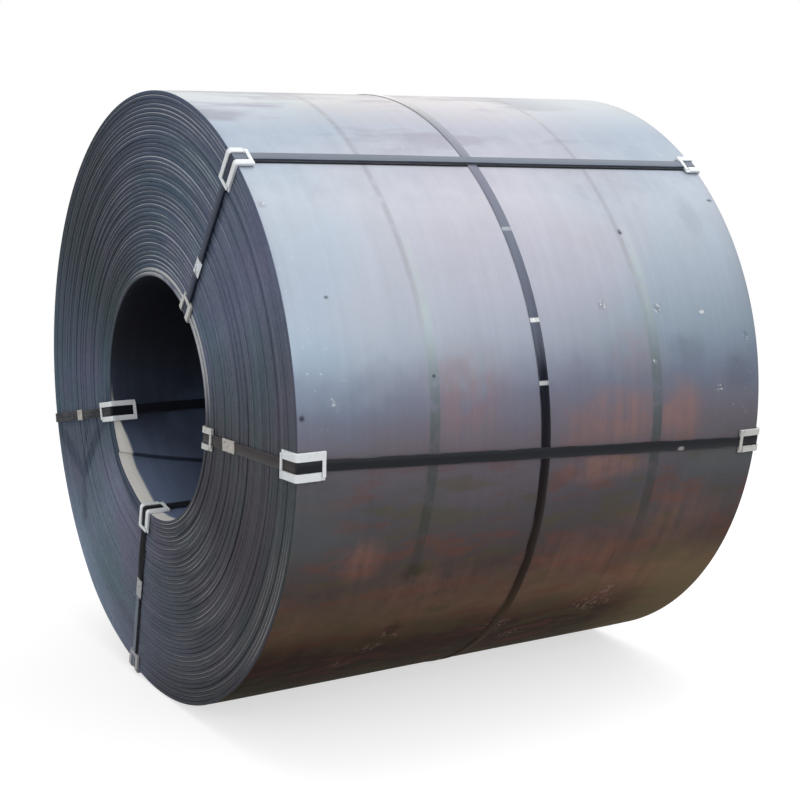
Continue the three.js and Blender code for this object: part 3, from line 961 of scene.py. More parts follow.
@dataclass(frozen=True)
class BoreScale:
    """The bore wall: blue scale, with painted shade overhead, painted light at its foot and a pale
    pool of painted sunlight inside its mouths.
    """

    scale: Colour = (0.06, 0.08, 0.13)
    dull: Colour = (0.035, 0.043, 0.066)
    # Painted shade overhead, and painted light at the foot.
    roof_shade: Colour = (0.022, 0.021, 0.025)
    foot_light: Colour = (0.17, 0.22, 0.34)
    # The pale colour of the painted sunlight in the mouths.
    dust_and_light: Colour = (0.76, 0.74, 0.69)
    # The head line's colour is painted shade.
    head_shade: Colour = (0.006, 0.007, 0.012)
    sunlit_depth: float = 38.0 * MM
    least_sunlit_depth: float = 10.0 * MM
    sunlit_deep: Span = (94.0, 128.0)
    sunlit_sides: Span = (88.0, 116.0)
    roof_sides: Span = (104.0, 66.0)
    foot_sides: Span = (104.0, 146.0)
    foot_depth: Span = (0.1, 0.34)

    def build(self) -> Material:
        """Makes the material.

        The painted sunlight lies on the lower half only, within a depth that shrinks with the height
        above the bottom. Painted shade lines the edge of the strip's head, whose clock angle the
        body's tongue draws back by the tongue's angle times 1 - (2 along / width)^2.

        Returns:
            The material.
        """
        shader = Shader(bpy.data.materials.new("bore_scale"))
        space = CoilSpace(shader)
        side = abs(space.clock)
        streaks = shader.stretched(space.vector, (22.0, 1.5, 1.5), 4.0)
        clouds = shader.noise(space.vector, 0.25, 4.0)
        grain = shader.noise(space.vector, 0.004, 3.0)
        # Painted sunlight within the mouths, on the lower half.
        depth = WoundStrip.width / 2.0 - abs(space.along)
        reach = side.rise(*self.sunlit_deep) * self.sunlit_depth + self.least_sunlit_depth
        sunlit = (depth / reach + clouds.swing(0.35)).rise(1.12, 0.86)
        sunlit = sunlit * side.rise(*self.sunlit_sides)
        # Painted shade on the upper wall, and painted light on the foot that fades deeper in.
        upper = (side + clouds.swing(40.0)).rise(*self.roof_sides)
        foot_light = side.rise(*self.foot_sides) * (1.0 - depth.rise(*self.foot_depth) * 0.5)
        # Painted shade along the edge of the strip's head.
        bulge = 1.0 - space.along * space.along * (2.0 / WoundStrip.width) ** 2
        head = space.clock + bulge * CoilBody.tongue_degrees
        head = head.band(WoundStrip.head_clock, 0.2, 0.7)
        colour = shader.layered(
            self.scale,
            (clouds.rise(0.38, 0.62), self.dull),
            (upper * 0.85, self.roof_shade),
            (foot_light, self.foot_light),
            (head * 0.6, self.head_shade),
            (sunlit * 0.9, self.dust_and_light),
        )
        return shader.surface(
            colour=shader.toned(colour, 1.0 + streaks.swing(0.5) + grain.swing(0.2)),
            metallic=0.35 * (1.0 - sunlit),
            roughness=0.45 + sunlit * 0.35 + streaks.swing(0.12),
            normal=shader.relief(grain, 0.4 * MM),
            specular=0.12,
        )


@dataclass(frozen=True)
class StrapPaint:
    """Black painted strap, worn along its edges and dusty on the ends.

    The map's u is metres along the strap and v runs from 0 to 1 round its section, of which the
    first half is the outer side. Round the barrel a painted sheen of reflection and shade lies over
    the paint, whose colour goes by the clock angle. One edge of the strap may carry a painted
    shadow. On the ends, the strap may carry a pale painted reflection beyond a radius. Each pale
    mark across the strap is a clock angle and a strength.
    """

    name: str
    paint: Colour = (0.012, 0.013, 0.017)
    shades: Shades = ((90.0, (0.012, 0.013, 0.017)),)
    bare: Colour = (0.2, 0.21, 0.23)
    dust_and_light: Colour = (0.055, 0.043, 0.034)
    dusting: float = 0.8
    # The dark colour is that of the painted shadow along one edge, and the pale one that of the
    # painted reflection on the ends.
    dark: Colour = (0.01, 0.013, 0.025)
    shaded_edge: float = 0.0
    pale: Colour = (0.2, 0.235, 0.28)
    sheen_beyond: float = 2.0
    gloss: float = 0.12
    marks: tuple[tuple[float, float], ...] = ()
    mark: Colour = (0.72, 0.73, 0.75)
    flecks: Patches = ()
    fleck: Colour = (0.42, 0.41, 0.4)
    end_span: Span = (810.5 * MM, 812.5 * MM)
    worn_span: Span = (0.205, 0.25)
    dull_sides: Span = (100.0, 128.0)

    def build(self) -> Material:
        """Makes the material.

        Returns:
            The material.
        """
        shader = Shader(bpy.data.materials.new(self.name))
        space = CoilSpace(shader)
        path = shader.node("ShaderNodeUVMap", {"uv_map": "UVMap"})
        u = shader.node("ShaderNodeSeparateXYZ", {}, {"Vector": path}, "X")
        v = u.also("Y")
        flow = shader.noise(shader.joined(u * 9.0, v * 6.0, 0.0), detail=4.0)
        grain = shader.noise(shader.joined(u * 260.0, v * 50.0, 0.0), detail=3.0)
        worn = abs(v - 0.25).rise(*self.worn_span) * v.rise(0.56, 0.52) * flow.rise(0.44, 0.6)
        on_end = abs(space.along).rise(*self.end_span)
        dusty_and_lit = on_end * (flow * 0.5 + grain * 0.5).rise(0.4, 0.62)
        side = abs(space.clock)
        # Painted sheen round the barrel: painted reflection and shade by clock angle.
        painted_sheen = shader.ramp(side * (1.0 / HALF_TURN) + flow.swing(0.04), self.shades)
        # Painted shadow along one edge.
        shadowed = (v + flow.swing(0.05)).band(0.475, 0.055, 0.035)
        # Painted reflection on the ends, beyond a radius.
        pale = on_end * space.radius.rise(self.sheen_beyond, self.sheen_beyond + 10.0 * MM)
        colour = shader.layered(
            self.paint,
            (1.0 - on_end, painted_sheen),
            (dusty_and_lit * self.dusting, self.dust_and_light),
            (worn * 0.4, self.bare),
            (shadowed * self.shaded_edge, self.dark),
            (pale * v.band(0.34, 0.14, 0.05) * flow.rise(0.2, 0.5), self.pale),
        )
        broken = flow.rise(0.2, 0.45)
        if self.marks:
            bars = (space.clock.band(clock, 0.25, 0.25) * share for clock, share in self.marks)
            colour = shader.mixed(strongest(bars) * broken, colour, self.mark)
        if self.flecks:
            colour = shader.mixed(patched(space.unrolled(), self.flecks) * broken, colour, self.fleck)
        return shader.surface(
            colour=shader.toned(colour, 1.0 + grain.swing(0.4)),
            metallic=0.1 + worn * 0.5,
            roughness=0.3
            + dusty_and_lit * 0.35
            + side.rise(*self.dull_sides) * 0.5
            + grain.swing(0.15)
            + flow.swing(0.12),
            normal=shader.relief(grain, 0.12 * MM),
            specular=self.gloss,
        )


@dataclass(frozen=True)
class SealSteel:
    """Galvanised seals: grey with crystals, and clouds of grime."""

    name: str = "seal_steel"
    pale: Colour = (0.44, 0.415, 0.375)
    dark: Colour = (0.3, 0.285, 0.26)
    grime: Colour = (0.09, 0.075, 0.06)

    def build(self) -> Material:
        """Makes the material.

        Returns:
            The material.
        """
        shader = Shader(bpy.data.materials.new(self.name))
        place = shader.node("ShaderNodeTexCoord", {}, {}, "Object")
        crystals = shader.node(
            "ShaderNodeTexVoronoi", {}, {"Vector": place, "Scale": 240.0}, "Color"
        )
        facet = shader.node("ShaderNodeSeparateXYZ", {}, {"Vector": crystals}, "X")
        clouds = shader.noise(place, 0.022, 4.0)
        grain = shader.noise(place, 0.002, 3.0)
        grimy = clouds.rise(0.54, 0.66)
        colour = shader.layered(self.pale, (facet * 0.55, self.dark), (grimy * 0.6, self.grime))
        return shader.surface(
            colour=colour,
            metallic=0.45 - grimy * 0.35,
            roughness=0.4 + facet * 0.12 + grimy * 0.25,
            normal=shader.relief(grain, 0.15 * MM),
        )


@dataclass(frozen=True)
class ProtectorPaint:
    """White painted protectors: slightly blue, smudged, and chipped here and there."""

    name: str = "protector_paint"
    white: Colour = (0.77, 0.8, 0.82)
    smudge: Colour = (0.46, 0.47, 0.48)
    chipped: Colour = (0.13, 0.12, 0.115)
    chipping: float = 0.66

    def build(self) -> Material:
        """Makes the material.

        Returns:
            The material.
        """
        shader = Shader(bpy.data.materials.new(self.name))
        place = shader.node("ShaderNodeTexCoord", {}, {}, "Object")
        clouds = shader.noise(place, 0.045, 4.0)
        specks = shader.noise(place, 0.006, 4.0)
        peel = shader.noise(place, 0.0025, 2.0)
        smudged = clouds.rise(0.54, 0.74)
        chips = specks.rise(self.chipping, self.chipping + 0.04) * clouds.rise(0.44, 0.56)
        colour = shader.layered(
            self.white, (smudged * 0.45, self.smudge), (chips * 0.85, self.chipped)
        )
        return shader.surface(
            colour=colour,
            roughness=0.42 + smudged * 0.2 + peel.swing(0.1),
            normal=shader.relief(peel, 0.1 * MM),
        )


# ---- pieces


@dataclass(frozen=True)
class WoundStrip:
    """The strip and the way that it is wound.

    Each turn keeps its radius for most of the way round, then climbs by one pitch over its last
    degrees. The climb drifts round the coil evenly from turn to turn. Turns are counted from the
    strip's head in the bore to its tail on the barrel.
    """

    bore_radius: float = 381.0 * MM
    barrel_radius: float = 944.57 * MM
    width: float = 1620.0 * MM
    pitch: float = 13.116 * MM
    thickness: float = 12.7 * MM
    turns: int = 43
    climb_degrees: float = 25.0
    drift_degrees: float = -15.5
    head_clock: float = -125.1
    edge_round: float = 3.0 * MM
    recess: float = 12.0 * MM

    def inner_radius(self, turn: Array) -> Array:
        """Radius of the strip's inner side, a number of turns after its head.

        It is the bore radius plus a pitch for each whole turn climbed, plus the smooth climb of
        the turn's last degrees. The drift shifts where the climbs are.

        Args:
            turn: Turns after the head.

        Returns:
            The radius at each of them.
        """
        climbed = turn * (1.0 - self.drift_degrees / 360.0 / self.turns)
        whole = np.floor(climbed + 1e-9)
        degrees = 360.0 * (climbed - whole)
        climb = smooth_step((degrees - 360.0 + self.climb_degrees) / self.climb_degrees)
        return self.bore_radius + (whole + climb) * self.pitch

    def tail(self) -> float:
        """How many turns after the head the strip ends: where the last climb would begin."""
        climbed = self.turns - self.climb_degrees / 360.0
        return climbed / (1.0 - self.drift_degrees / 360.0 / self.turns)

    def clock(self, turn: Array) -> Array:
        """Clock angle in degrees, a number of turns after the head."""
        return self.head_clock + 360.0 * turn

    def outline(self, degrees: Array) -> Array:
        """Radius of the barrel, by degrees after the head: that of the last turn up to the tail,
        and of the one under it from there."""
        over = np.floor(self.tail() - degrees / 360.0)
        return self.inner_radius(over + degrees / 360.0) + self.thickness


class Part(Enum):
    """The parts of the coil body's outline, by the number of their finish."""

    BARREL = 0
    EDGE = 1
    BORE = 2


@dataclass
class CoilBody:
    """The first and the last turn of the strip, and the block of turns between them, set back at
    each end for the turns' own edges.

    The barrel drops towards each edge, over the last drop_reach of its half width.
    """

    strip: WoundStrip
    barrel_steps: int = 36
    bore_steps: int = 18
    round_steps: int = 4
    tail_clear: float = 0.5
    tail_half: float = 0.03
    head_gap: float = 0.05
    tongue_degrees: float = 16.7
    tongue_fade: float = 40.0
    edge_drop: float = 1.1 * MM
    drop_reach: float = 0.2
    ridge: float = 0.35 * MM
    ridge_knots: int = 13
    seed: int = 11

    def stations(self) -> Array:
        """Degrees after the head.

        There is one at every degree but those near the tail, a close pair about the tail, and one
        just short of the head.

        Returns:
            The stations, in order.
        """
        tail = 360.0 * (self.strip.tail() % 1.0)
        even = np.arange(0.0, 360.0)
        even = even[np.abs(even - tail) > self.tail_clear]
        steps = [tail - self.tail_half, tail + self.tail_half, 360.0 - self.head_gap]
        return np.sort(np.concatenate([even, steps]))

    def near_to_far(self) -> tuple[Array, Array, Array, Array]:
        """The places of one row, round the closed outline.

        They run along the barrel to the far end, in over its rounded edges and the set-back between
        them, back along the bore, and out over the near end.

        Returns:
            Place along, which surface it is measured from (0 barrel, 1 inner side of the last
            turn, 2 outer side of the first, 3 bore), height from that surface, and finish.
        """
        strip = self.strip
        half = strip.width / 2.0
        edge = strip.edge_round
        turn = np.linspace(0.0, np.pi / 2.0, self.round_steps + 1)
        over = half - edge * (1.0 - np.sin(turn))
        drop = edge * (1.0 - np.cos(turn))
        far = end_to_end(
            (over, 0.0, -drop),
            (over[::-1], 1.0, drop[::-1]),
            (half - strip.recess, np.array([1.0, 2.0]), 0.0),
            (over, 2.0, -drop),
            (over[::-1], 3.0, drop[::-1]),
        )
        barrel = np.linspace(-1.0, 1.0, self.barrel_steps + 1)[1:-1] * (half - edge)
        bore = np.linspace(1.0, -1.0, self.bore_steps + 1)[1:-1] * (half - edge)
        near = (-far[0, ::-1], far[1, ::-1], far[2, ::-1])
        along, base, height = end_to_end((barrel, 0.0, 0.0), far, (bore, 3.0, 0.0), near)
        finish = np.full(len(along), Part.EDGE.value)
        finish[: len(barrel)] = Part.BARREL.value
        start = len(barrel) + len(far[0])
        finish[start - 1 : start + len(bore)] = Part.BORE.value
        finish[-1] = Part.BARREL.value
        return along, base.astype(int), height, finish

    def build(self, scale: Material, edges: Material, bore: Material) -> None:
        """Makes the closed body and dresses it.

        The barrel falls a little towards each edge, as the square of the nearness to it, and
        waves slightly.

        Args:
            scale: Finish of the barrel.
            edges: Finish of the ends.
            bore: Finish of the bore.
        """
        strip = self.strip
        degrees = self.stations()[:, None]
        along, base, height, finish = self.near_to_far()
        barrel = strip.outline(degrees)
        first = strip.inner_radius(degrees / 360.0)
        surfaces = [barrel, barrel - strip.thickness, first + strip.thickness, first]
        surfaces = np.concatenate(surfaces, axis=1)
        radius = surfaces[:, base] + height
        half = strip.width / 2.0
        drop = self.drop_reach * half
        nearness = np.clip((np.abs(along) - (half - drop)) / drop, 0.0, 1.0)
        places = (along + half) / strip.width * (self.ridge_knots - 1)
        waves = smooth_noise(self.seed, self.ridge_knots, places) * 0.5 + 0.5
        radius = radius - (base == 0) * (self.edge_drop * nearness**2 + self.ridge * waves)
        clock = strip.head_clock + degrees - self.tongue(degrees, along) * (base == 3)
        grid = Grid(
            about_axis(along, radius, clock),
            closed=True,
            finish_of_place=finish,
            uv_name="OFBake",
            uv_rows=np.append(degrees.ravel() / 360.0, 1.0),
            uv_places=ring_shares(along, radius[0]),
            marks=self.turn_marks(base, radius, surfaces),
        )
        body = grid.build("coil_body")
        dress(body, "strip_steel", "coil", scale, edges, bore)

    def tongue(self, degrees: Array, along: Array) -> Array:
        """How far the stations near the strip's head are drawn back in the bore.

        It is the tongue's angle times 1 - (2 along / width)^2, and fades with a smooth step over
        tongue_fade degrees after the head, and in no time before it.

        Args:
            degrees: Degrees after the head.
            along: Places along the coil.

        Returns:
            Degrees drawn back, by station and place.
        """
        after = np.where(degrees > 180.0, degrees - 360.0, degrees)
        fade = np.where(after < 0.0, after + self.strip.climb_degrees, after) / self.tongue_fade
        weight = 1.0 - smooth_step(np.abs(np.where(after < 0.0, np.minimum(fade, 0.0), fade)))
        return self.tongue_degrees * weight * (1.0 - (2.0 * along / self.strip.width) ** 2)

    def turn_marks(self, base: Array, radius: Array, surfaces: Array) -> dict[str, Array]:
        """The marks that the finish of the turns' edges reads.

        Args:
            base: Which surface each place is measured from.
            radius: Distance from the axis, by station and place.
            surfaces: Radii of the surfaces, by station and surface.

        Returns:
            The place through the thickness of the first or last turn, and the turn's number.
        """
        middle = np.where(
            base < 2, surfaces[:, :1] + surfaces[:, 1:2], surfaces[:, 2:3] + surfaces[:, 3:]
        )
        place = (radius - middle / 2.0) / (self.strip.thickness / 2.0)
        return {"place": place, "turn": np.where(base < 2, self.strip.turns, 0)}


NEAR_PROUD_TURNS = (7, 8, 9, 12, 14, 15, 16, 18, 20, 22, 23)
NEAR_PROUD_TURNS += (25, 26, 27, 30, 32, 33, 34, 36, 37, 38, 41)
FAR_PROUD_TURNS = (5, 8, 10, 11, 15, 17, 18, 21, 24, 26, 29, 30, 31, 35, 38, 39)


@dataclass
class EndTurns:
    """The edges of all the turns between the first and the last, at one end of the coil."""

    strip: WoundStrip
    end: End
    seed: int
    proud_turns: tuple[int, ...]
    stations_per_turn: int = 230
    set_back: Span = (1.6 * MM, 4.2 * MM)
    inset_limits: Span = (0.15 * MM, 7.0 * MM)
    blend: float = 0.2
    waver: float = 1.1 * MM
    knots_per_turn: int = 6
    corner: float = 0.3
    overlap: float = 0.5 * MM
    uv_margin: float = 0.02

    def inset(self, turn: Array) -> Array:
        """How far each place of the wound edge lies inside the end of the coil.

        A proud turn lies at the very end, and the others are set back by a random depth. Over the
        last share of a turn its depth blends into the next one's. Smooth noise is added.

        Args:
            turn: Turns after the head.

        Returns:
            The inset at each of them.
        """
        strip = self.strip
        depths = np.random.default_rng(self.seed).uniform(*self.set_back, strip.turns + 1)
        depths[list(self.proud_turns)] = 0.0
        whole = np.floor(turn).astype(int)
        share = smooth_step((turn - whole - (1.0 - self.blend)) / self.blend)
        depth = depths[whole] * (1.0 - share) + depths[whole + 1] * share
        knots = strip.turns * self.knots_per_turn + 2
        noise = smooth_noise(self.seed + 1, knots, turn * self.knots_per_turn)
        return np.clip(depth + self.waver * noise, *self.inset_limits)

    def build(self, edges: Material) -> None:
        """Makes the wound edge and dresses it.

        A rounded bar, as thick as the strip, is carried along the spiral that the strip makes. Its
        base lies just under the block of turns.

        Args:
            edges: Its finish.
        """
        strip = self.strip
        last = strip.tail() - 1.0
        turn = np.arange(self.stations_per_turn, last * self.stations_per_turn + 0.5)
        turn = turn[:, None] / self.stations_per_turn
        half = strip.thickness / 2.0
        edge = strip.edge_round
        across = np.array([-half, -half, -half + self.corner * edge, -half + edge])
        across = np.concatenate([across, -across[::-1]])
        drop = np.array([strip.recess + self.overlap, edge, self.corner * edge, 0.0])
        drop = np.concatenate([drop, drop[::-1]])
        inset = np.where(drop > 2.0 * edge, drop, drop + self.inset(turn))
        along = self.end.value * (strip.width / 2.0 - inset)
        radius = strip.inner_radius(turn) + half + across
        row = turn.ravel()
        whole = np.floor(row + 1e-9)
        uv_places = np.linspace(self.uv_margin, 1.0 - self.uv_margin, len(across))
        grid = Grid(
            about_axis(along, radius, strip.clock(turn)),
            closed=False,
            uv_name="OFBake",
            uv_rows=row - whole,
            uv_places=np.append(uv_places, 1.0 - self.uv_margin / 2.0) / strip.turns,
            uv_shift=whole / strip.turns,
            marks={"place": across / half, "turn": turn},
        )
        piece = grid.build(f"{self.end.name.lower()}_turns", sharp_degrees=70.0)
        dress(piece, "strip_steel", "coil", edges)


@dataclass(frozen=True)
class StrapSection:
    """A strap's section: a flat bar with its corners cut off, so that it has eight."""

    width: float = 32.0 * MM
    thickness: float = 1.0 * MM
    soft: float = 0.3 * MM

    def places(self) -> tuple[Array, Array]:
        """Distance across and height of each of its corners, the outer side first."""
        half, top, soft = self.width / 2.0, self.thickness, self.soft
        across = np.array([-half, -half + soft, half - soft, half])
        height = np.array([top - soft, top, top, top - soft, soft, 0.0, 0.0, soft])
        return np.concatenate([across, across[::-1]]), height


@dataclass
class AroundStrap:
    """The strap pulled tight round the barrel, slightly askew."""

    strip: WoundStrip
    section: StrapSection = StrapSection()
    radius: float = 945.3 * MM
    along: float = -24.0 * MM
    skew: float = 41.0 * MM
    skew_clock: float = 75.0
    stations: int = 720
    least_cosine: float = 0.5

    def taut_radius(self, degrees: Array) -> Array:
        """Radius of a band pulled tight round the barrel.

        The barrel's reach in a direction is the largest radius times cosine to it. In each
        direction, the band lies at the smallest reach over the cosine to that reach. Reaches whose
        cosine is under the least one are too far round to matter.

        Args:
            degrees: Degrees after the head.

        Returns:
            The band's inner radius.
        """
        outline = self.strip.outline(degrees)
        between = np.radians(degrees[:, None] - degrees[None, :])
        cosine = np.cos(between)
        reach = (outline[None, :] * cosine).max(axis=1)
        least = self.least_cosine
        held = np.where(cosine > least, reach[None, :] / np.maximum(cosine, least), np.inf)
        return held.min(axis=1) + self.radius - self.strip.barrel_radius

    def build(self, paint: Material) -> None:
        """Makes the strap and dresses it.

        A flat section with rounded edges is carried round the barrel. Its middle lies at the
        strap's place plus the skew times the sine of the angle past the skew's clock.

        Args:
            paint: Its finish.
        """
        degrees = np.arange(self.stations) * 360.0 / self.stations
        across, height = self.section.places()
        clock = (self.strip.head_clock + degrees)[:, None]
        middle = self.along + self.skew * np.sin(np.radians(clock - self.skew_clock))
        radius = self.taut_radius(degrees)[:, None] + height
        length = np.append(degrees, 360.0) / 360.0 * 2.0 * np.pi * self.radius
        grid = Grid(
            about_axis(middle + across, radius, clock),
            closed=True,
            uv_rows=length,
            uv_places=ring_shares(across, height),
        )
        piece = grid.build("strap_around", sharp_degrees=50.0)
        dress(piece, "strap_steel", "circumferential_strap", paint)


@dataclass(frozen=True)
class Crossing:
    """Where an eye strap crosses one edge of the coil, and the protector that it has there.

    hook_side is the side of the channel that the protector's face hook springs from, +1 towards
    the larger clock angle. The legs reach in down the end and along the barrel or bore. There is
    no protector where the width is 0. Lengths are in millimetres.
    """

    clock: float
    hook_side: int = 1
    face_leg: float = 0.0
    rim_leg: float = 0.0
    width: float = 0.0


@dataclass
class EyeStrap:
    """A strap through the bore and over the barrel, drawn round four edge protectors."""

    name: str
    seal_radius: float
    seal_length: float
    crossings: dict[tuple[End, Rim], Crossing]
    section: StrapSection = StrapSection()
    lift: float = 3.3 * MM
    hold: float = 90.0 * MM
    fade: float = 40.0 * MM
    seal_clear: float = 60.0 * MM
    face_margin: float = 1.0 * MM
    bend_radius: float = 3.0 * MM
    half_width: float = 810.3 * MM
    edge_radius: float = 945.0 * MM
    barrel_surface: float = 946.5 * MM
    bore_surface: float = 378.1 * MM
    slack: float = 0.8 * MM
    tilt_degrees: float = 1.6
    twist_degrees: float = 0.0
    knots: int = 25
    seed: int = 1
    tilt_seed_step: int = 40
    side_stations: tuple[int, ...] = (72, 44, 50, 44)
    bend_stations: int = 8

    def outline(self) -> tuple[Array, Array, Array, Array]:
        """The closed path of the strap, seen square to the coil's axis.

        It runs along the barrel to the far end, in down that end, back along the bore and out up
        the near end. Every place lies one bend radius outwards from the line between the corners'
        centres. That direction is (sin t, cos t), where t is a quarter turn for each side before
        it, and grows by a quarter turn round its corner.

        Returns:
            Place along and radius of each station, and the two parts of the outward direction.
        """
        low, high = self.bends()
        flat = self.half_width - self.bend_radius
        centres = np.array([[-flat, high], [flat, high], [flat, low], [-flat, low]])
        quarter = np.linspace(0.0, np.pi / 2.0, self.bend_stations)
        places, turns = [], []
        for side, count in enumerate(self.side_stations):
            start, stop = centres[side], centres[(side + 1) % len(centres)]
            share = np.linspace(0.0, 1.0, count)[1:-1]
            share = np.append(share, np.ones_like(quarter))[:, None]
            places.append(start + share * (stop - start))
            turns.append(side * np.pi / 2.0 + np.append(np.zeros(count - 2), quarter))
        turn = np.concatenate(turns)
        outward = np.stack([np.sin(turn), np.cos(turn)])
        along, radius = np.concatenate(places).T + self.bend_radius * outward
        return along, radius, *outward

    def bends(self) -> tuple[float, float]:
        """The radii at which the strap starts and ends its straight run down an end."""
        return self.bore_surface + self.bend_radius, self.barrel_surface - self.bend_radius

    def middle(self, along: Array, radius: Array) -> tuple[Array, Array, Array]:
        """Where the strap's middle lies at a place on its path.

        Its clock angle holds still near each edge and changes evenly between. Down an end it runs
        straight: a share t of the way out its clock angle c is that share between the edges' own,
        its radius is (1 - t) b cos(i - c) + t o cos(e - c), and it lies sideways by the same with
        sines. Here b and o are the bends' radii, and i and e the edges' clock angles.

        Args:
            along: Place along the coil.
            radius: Distance from the axis.

        Returns:
            The clock angle in degrees, the radius, and the distance sideways.
        """
        reach = WoundStrip.width / 2.0 - self.hold
        share = np.clip((along + reach) / (2.0 * reach), 0.0, 1.0)
        at = {key: crossing.clock for key, crossing in self.crossings.items()}
        inner = at[End.NEAR, Rim.INNER] * (1.0 - share) + at[End.FAR, Rim.INNER] * share
        outer = at[End.NEAR, Rim.OUTER] * (1.0 - share) + at[End.FAR, Rim.OUTER] * share
        low, high = self.bends()
        outward = np.clip((radius - low) / (high - low), 0.0, 1.0)
        clock = inner * (1.0 - outward) + outer * outward
        parts = (
            ((1.0 - outward) * low, np.radians(inner - clock)),
            (outward * high, np.radians(outer - clock)),
        )
        straight = sum(size * np.cos(angle) for size, angle in parts)
        aside = sum(size * np.sin(angle) for size, angle in parts)
        on_end = (outward > 0.0) & (outward < 1.0)
        return clock, np.where(on_end, straight, radius), np.where(on_end, aside, 0.0)

    def free(self, along: Array, radius: Array) -> Array:
        """1 where the strap is clear of the edges and its seal, falling to 0 near them.

        Args:
            along: Place along the coil.
            radius: Distance from the axis.

        Returns:
            A share from 0 to 1.
        """
        reach = WoundStrip.width / 2.0 - self.hold
        low, high = self.bends()
        on_side = smooth_step((reach - np.abs(along)) / self.fade)
        clear = np.minimum(high - self.hold - radius, radius - low - self.hold)
        on_end = smooth_step(clear / self.fade)
        on_end = on_end * (np.abs(along) > self.half_width - self.face_margin)
        sealed = (along < 0.0) * (np.abs(radius - self.seal_radius) < self.seal_clear)
        return np.maximum(on_side, on_end * (1.0 - sealed))

    def build(self, paint: Material) -> None:
        """Makes the strap and dresses it.

        A flat section with rounded edges is carried along the path, turned at each station to the
        strap's clock angle there. Between the edges smooth noise lifts and tilts it a little, and
        on the near end it may be twisted.

        Args:
            paint: Its finish.
        """
        along, radius, out_along, out_radius = (part[:, None] for part in self.outline())
        across, height = self.section.places()
        knots = np.linspace(0.0, self.knots - 1.0, len(along))[:, None]
        lift = self.slack * 0.5 * (smooth_noise(self.seed, self.knots, knots) + 1.0)
        tilt = smooth_noise(self.seed + self.tilt_seed_step, self.knots, knots)
        tilt = np.radians(self.tilt_degrees) * tilt
        twist = np.radians(self.twist_degrees) * (along < self.face_margin - self.half_width)
        free = self.free(along, radius)
        rise = self.lift + height + free * (lift + (tilt + twist) * across)
        clock, middle, aside = self.middle(along, radius)
        x = along + out_along * rise
        r = middle + out_radius * rise
        steps = np.hypot(np.diff(x[:, 0], append=x[0, 0]), np.diff(r[:, 0], append=r[0, 0]))
        grid = Grid(
            about_axis(x, r, clock, across + aside),
            closed=True,
            uv_rows=np.concatenate([[0.0], np.cumsum(steps)]),
            uv_places=ring_shares(across, height),
        )
        piece = grid.build(f"strap_{self.name}", sharp_degrees=50.0)
        dress(piece, "strap_steel", f"eye_strap_{self.name}", paint)


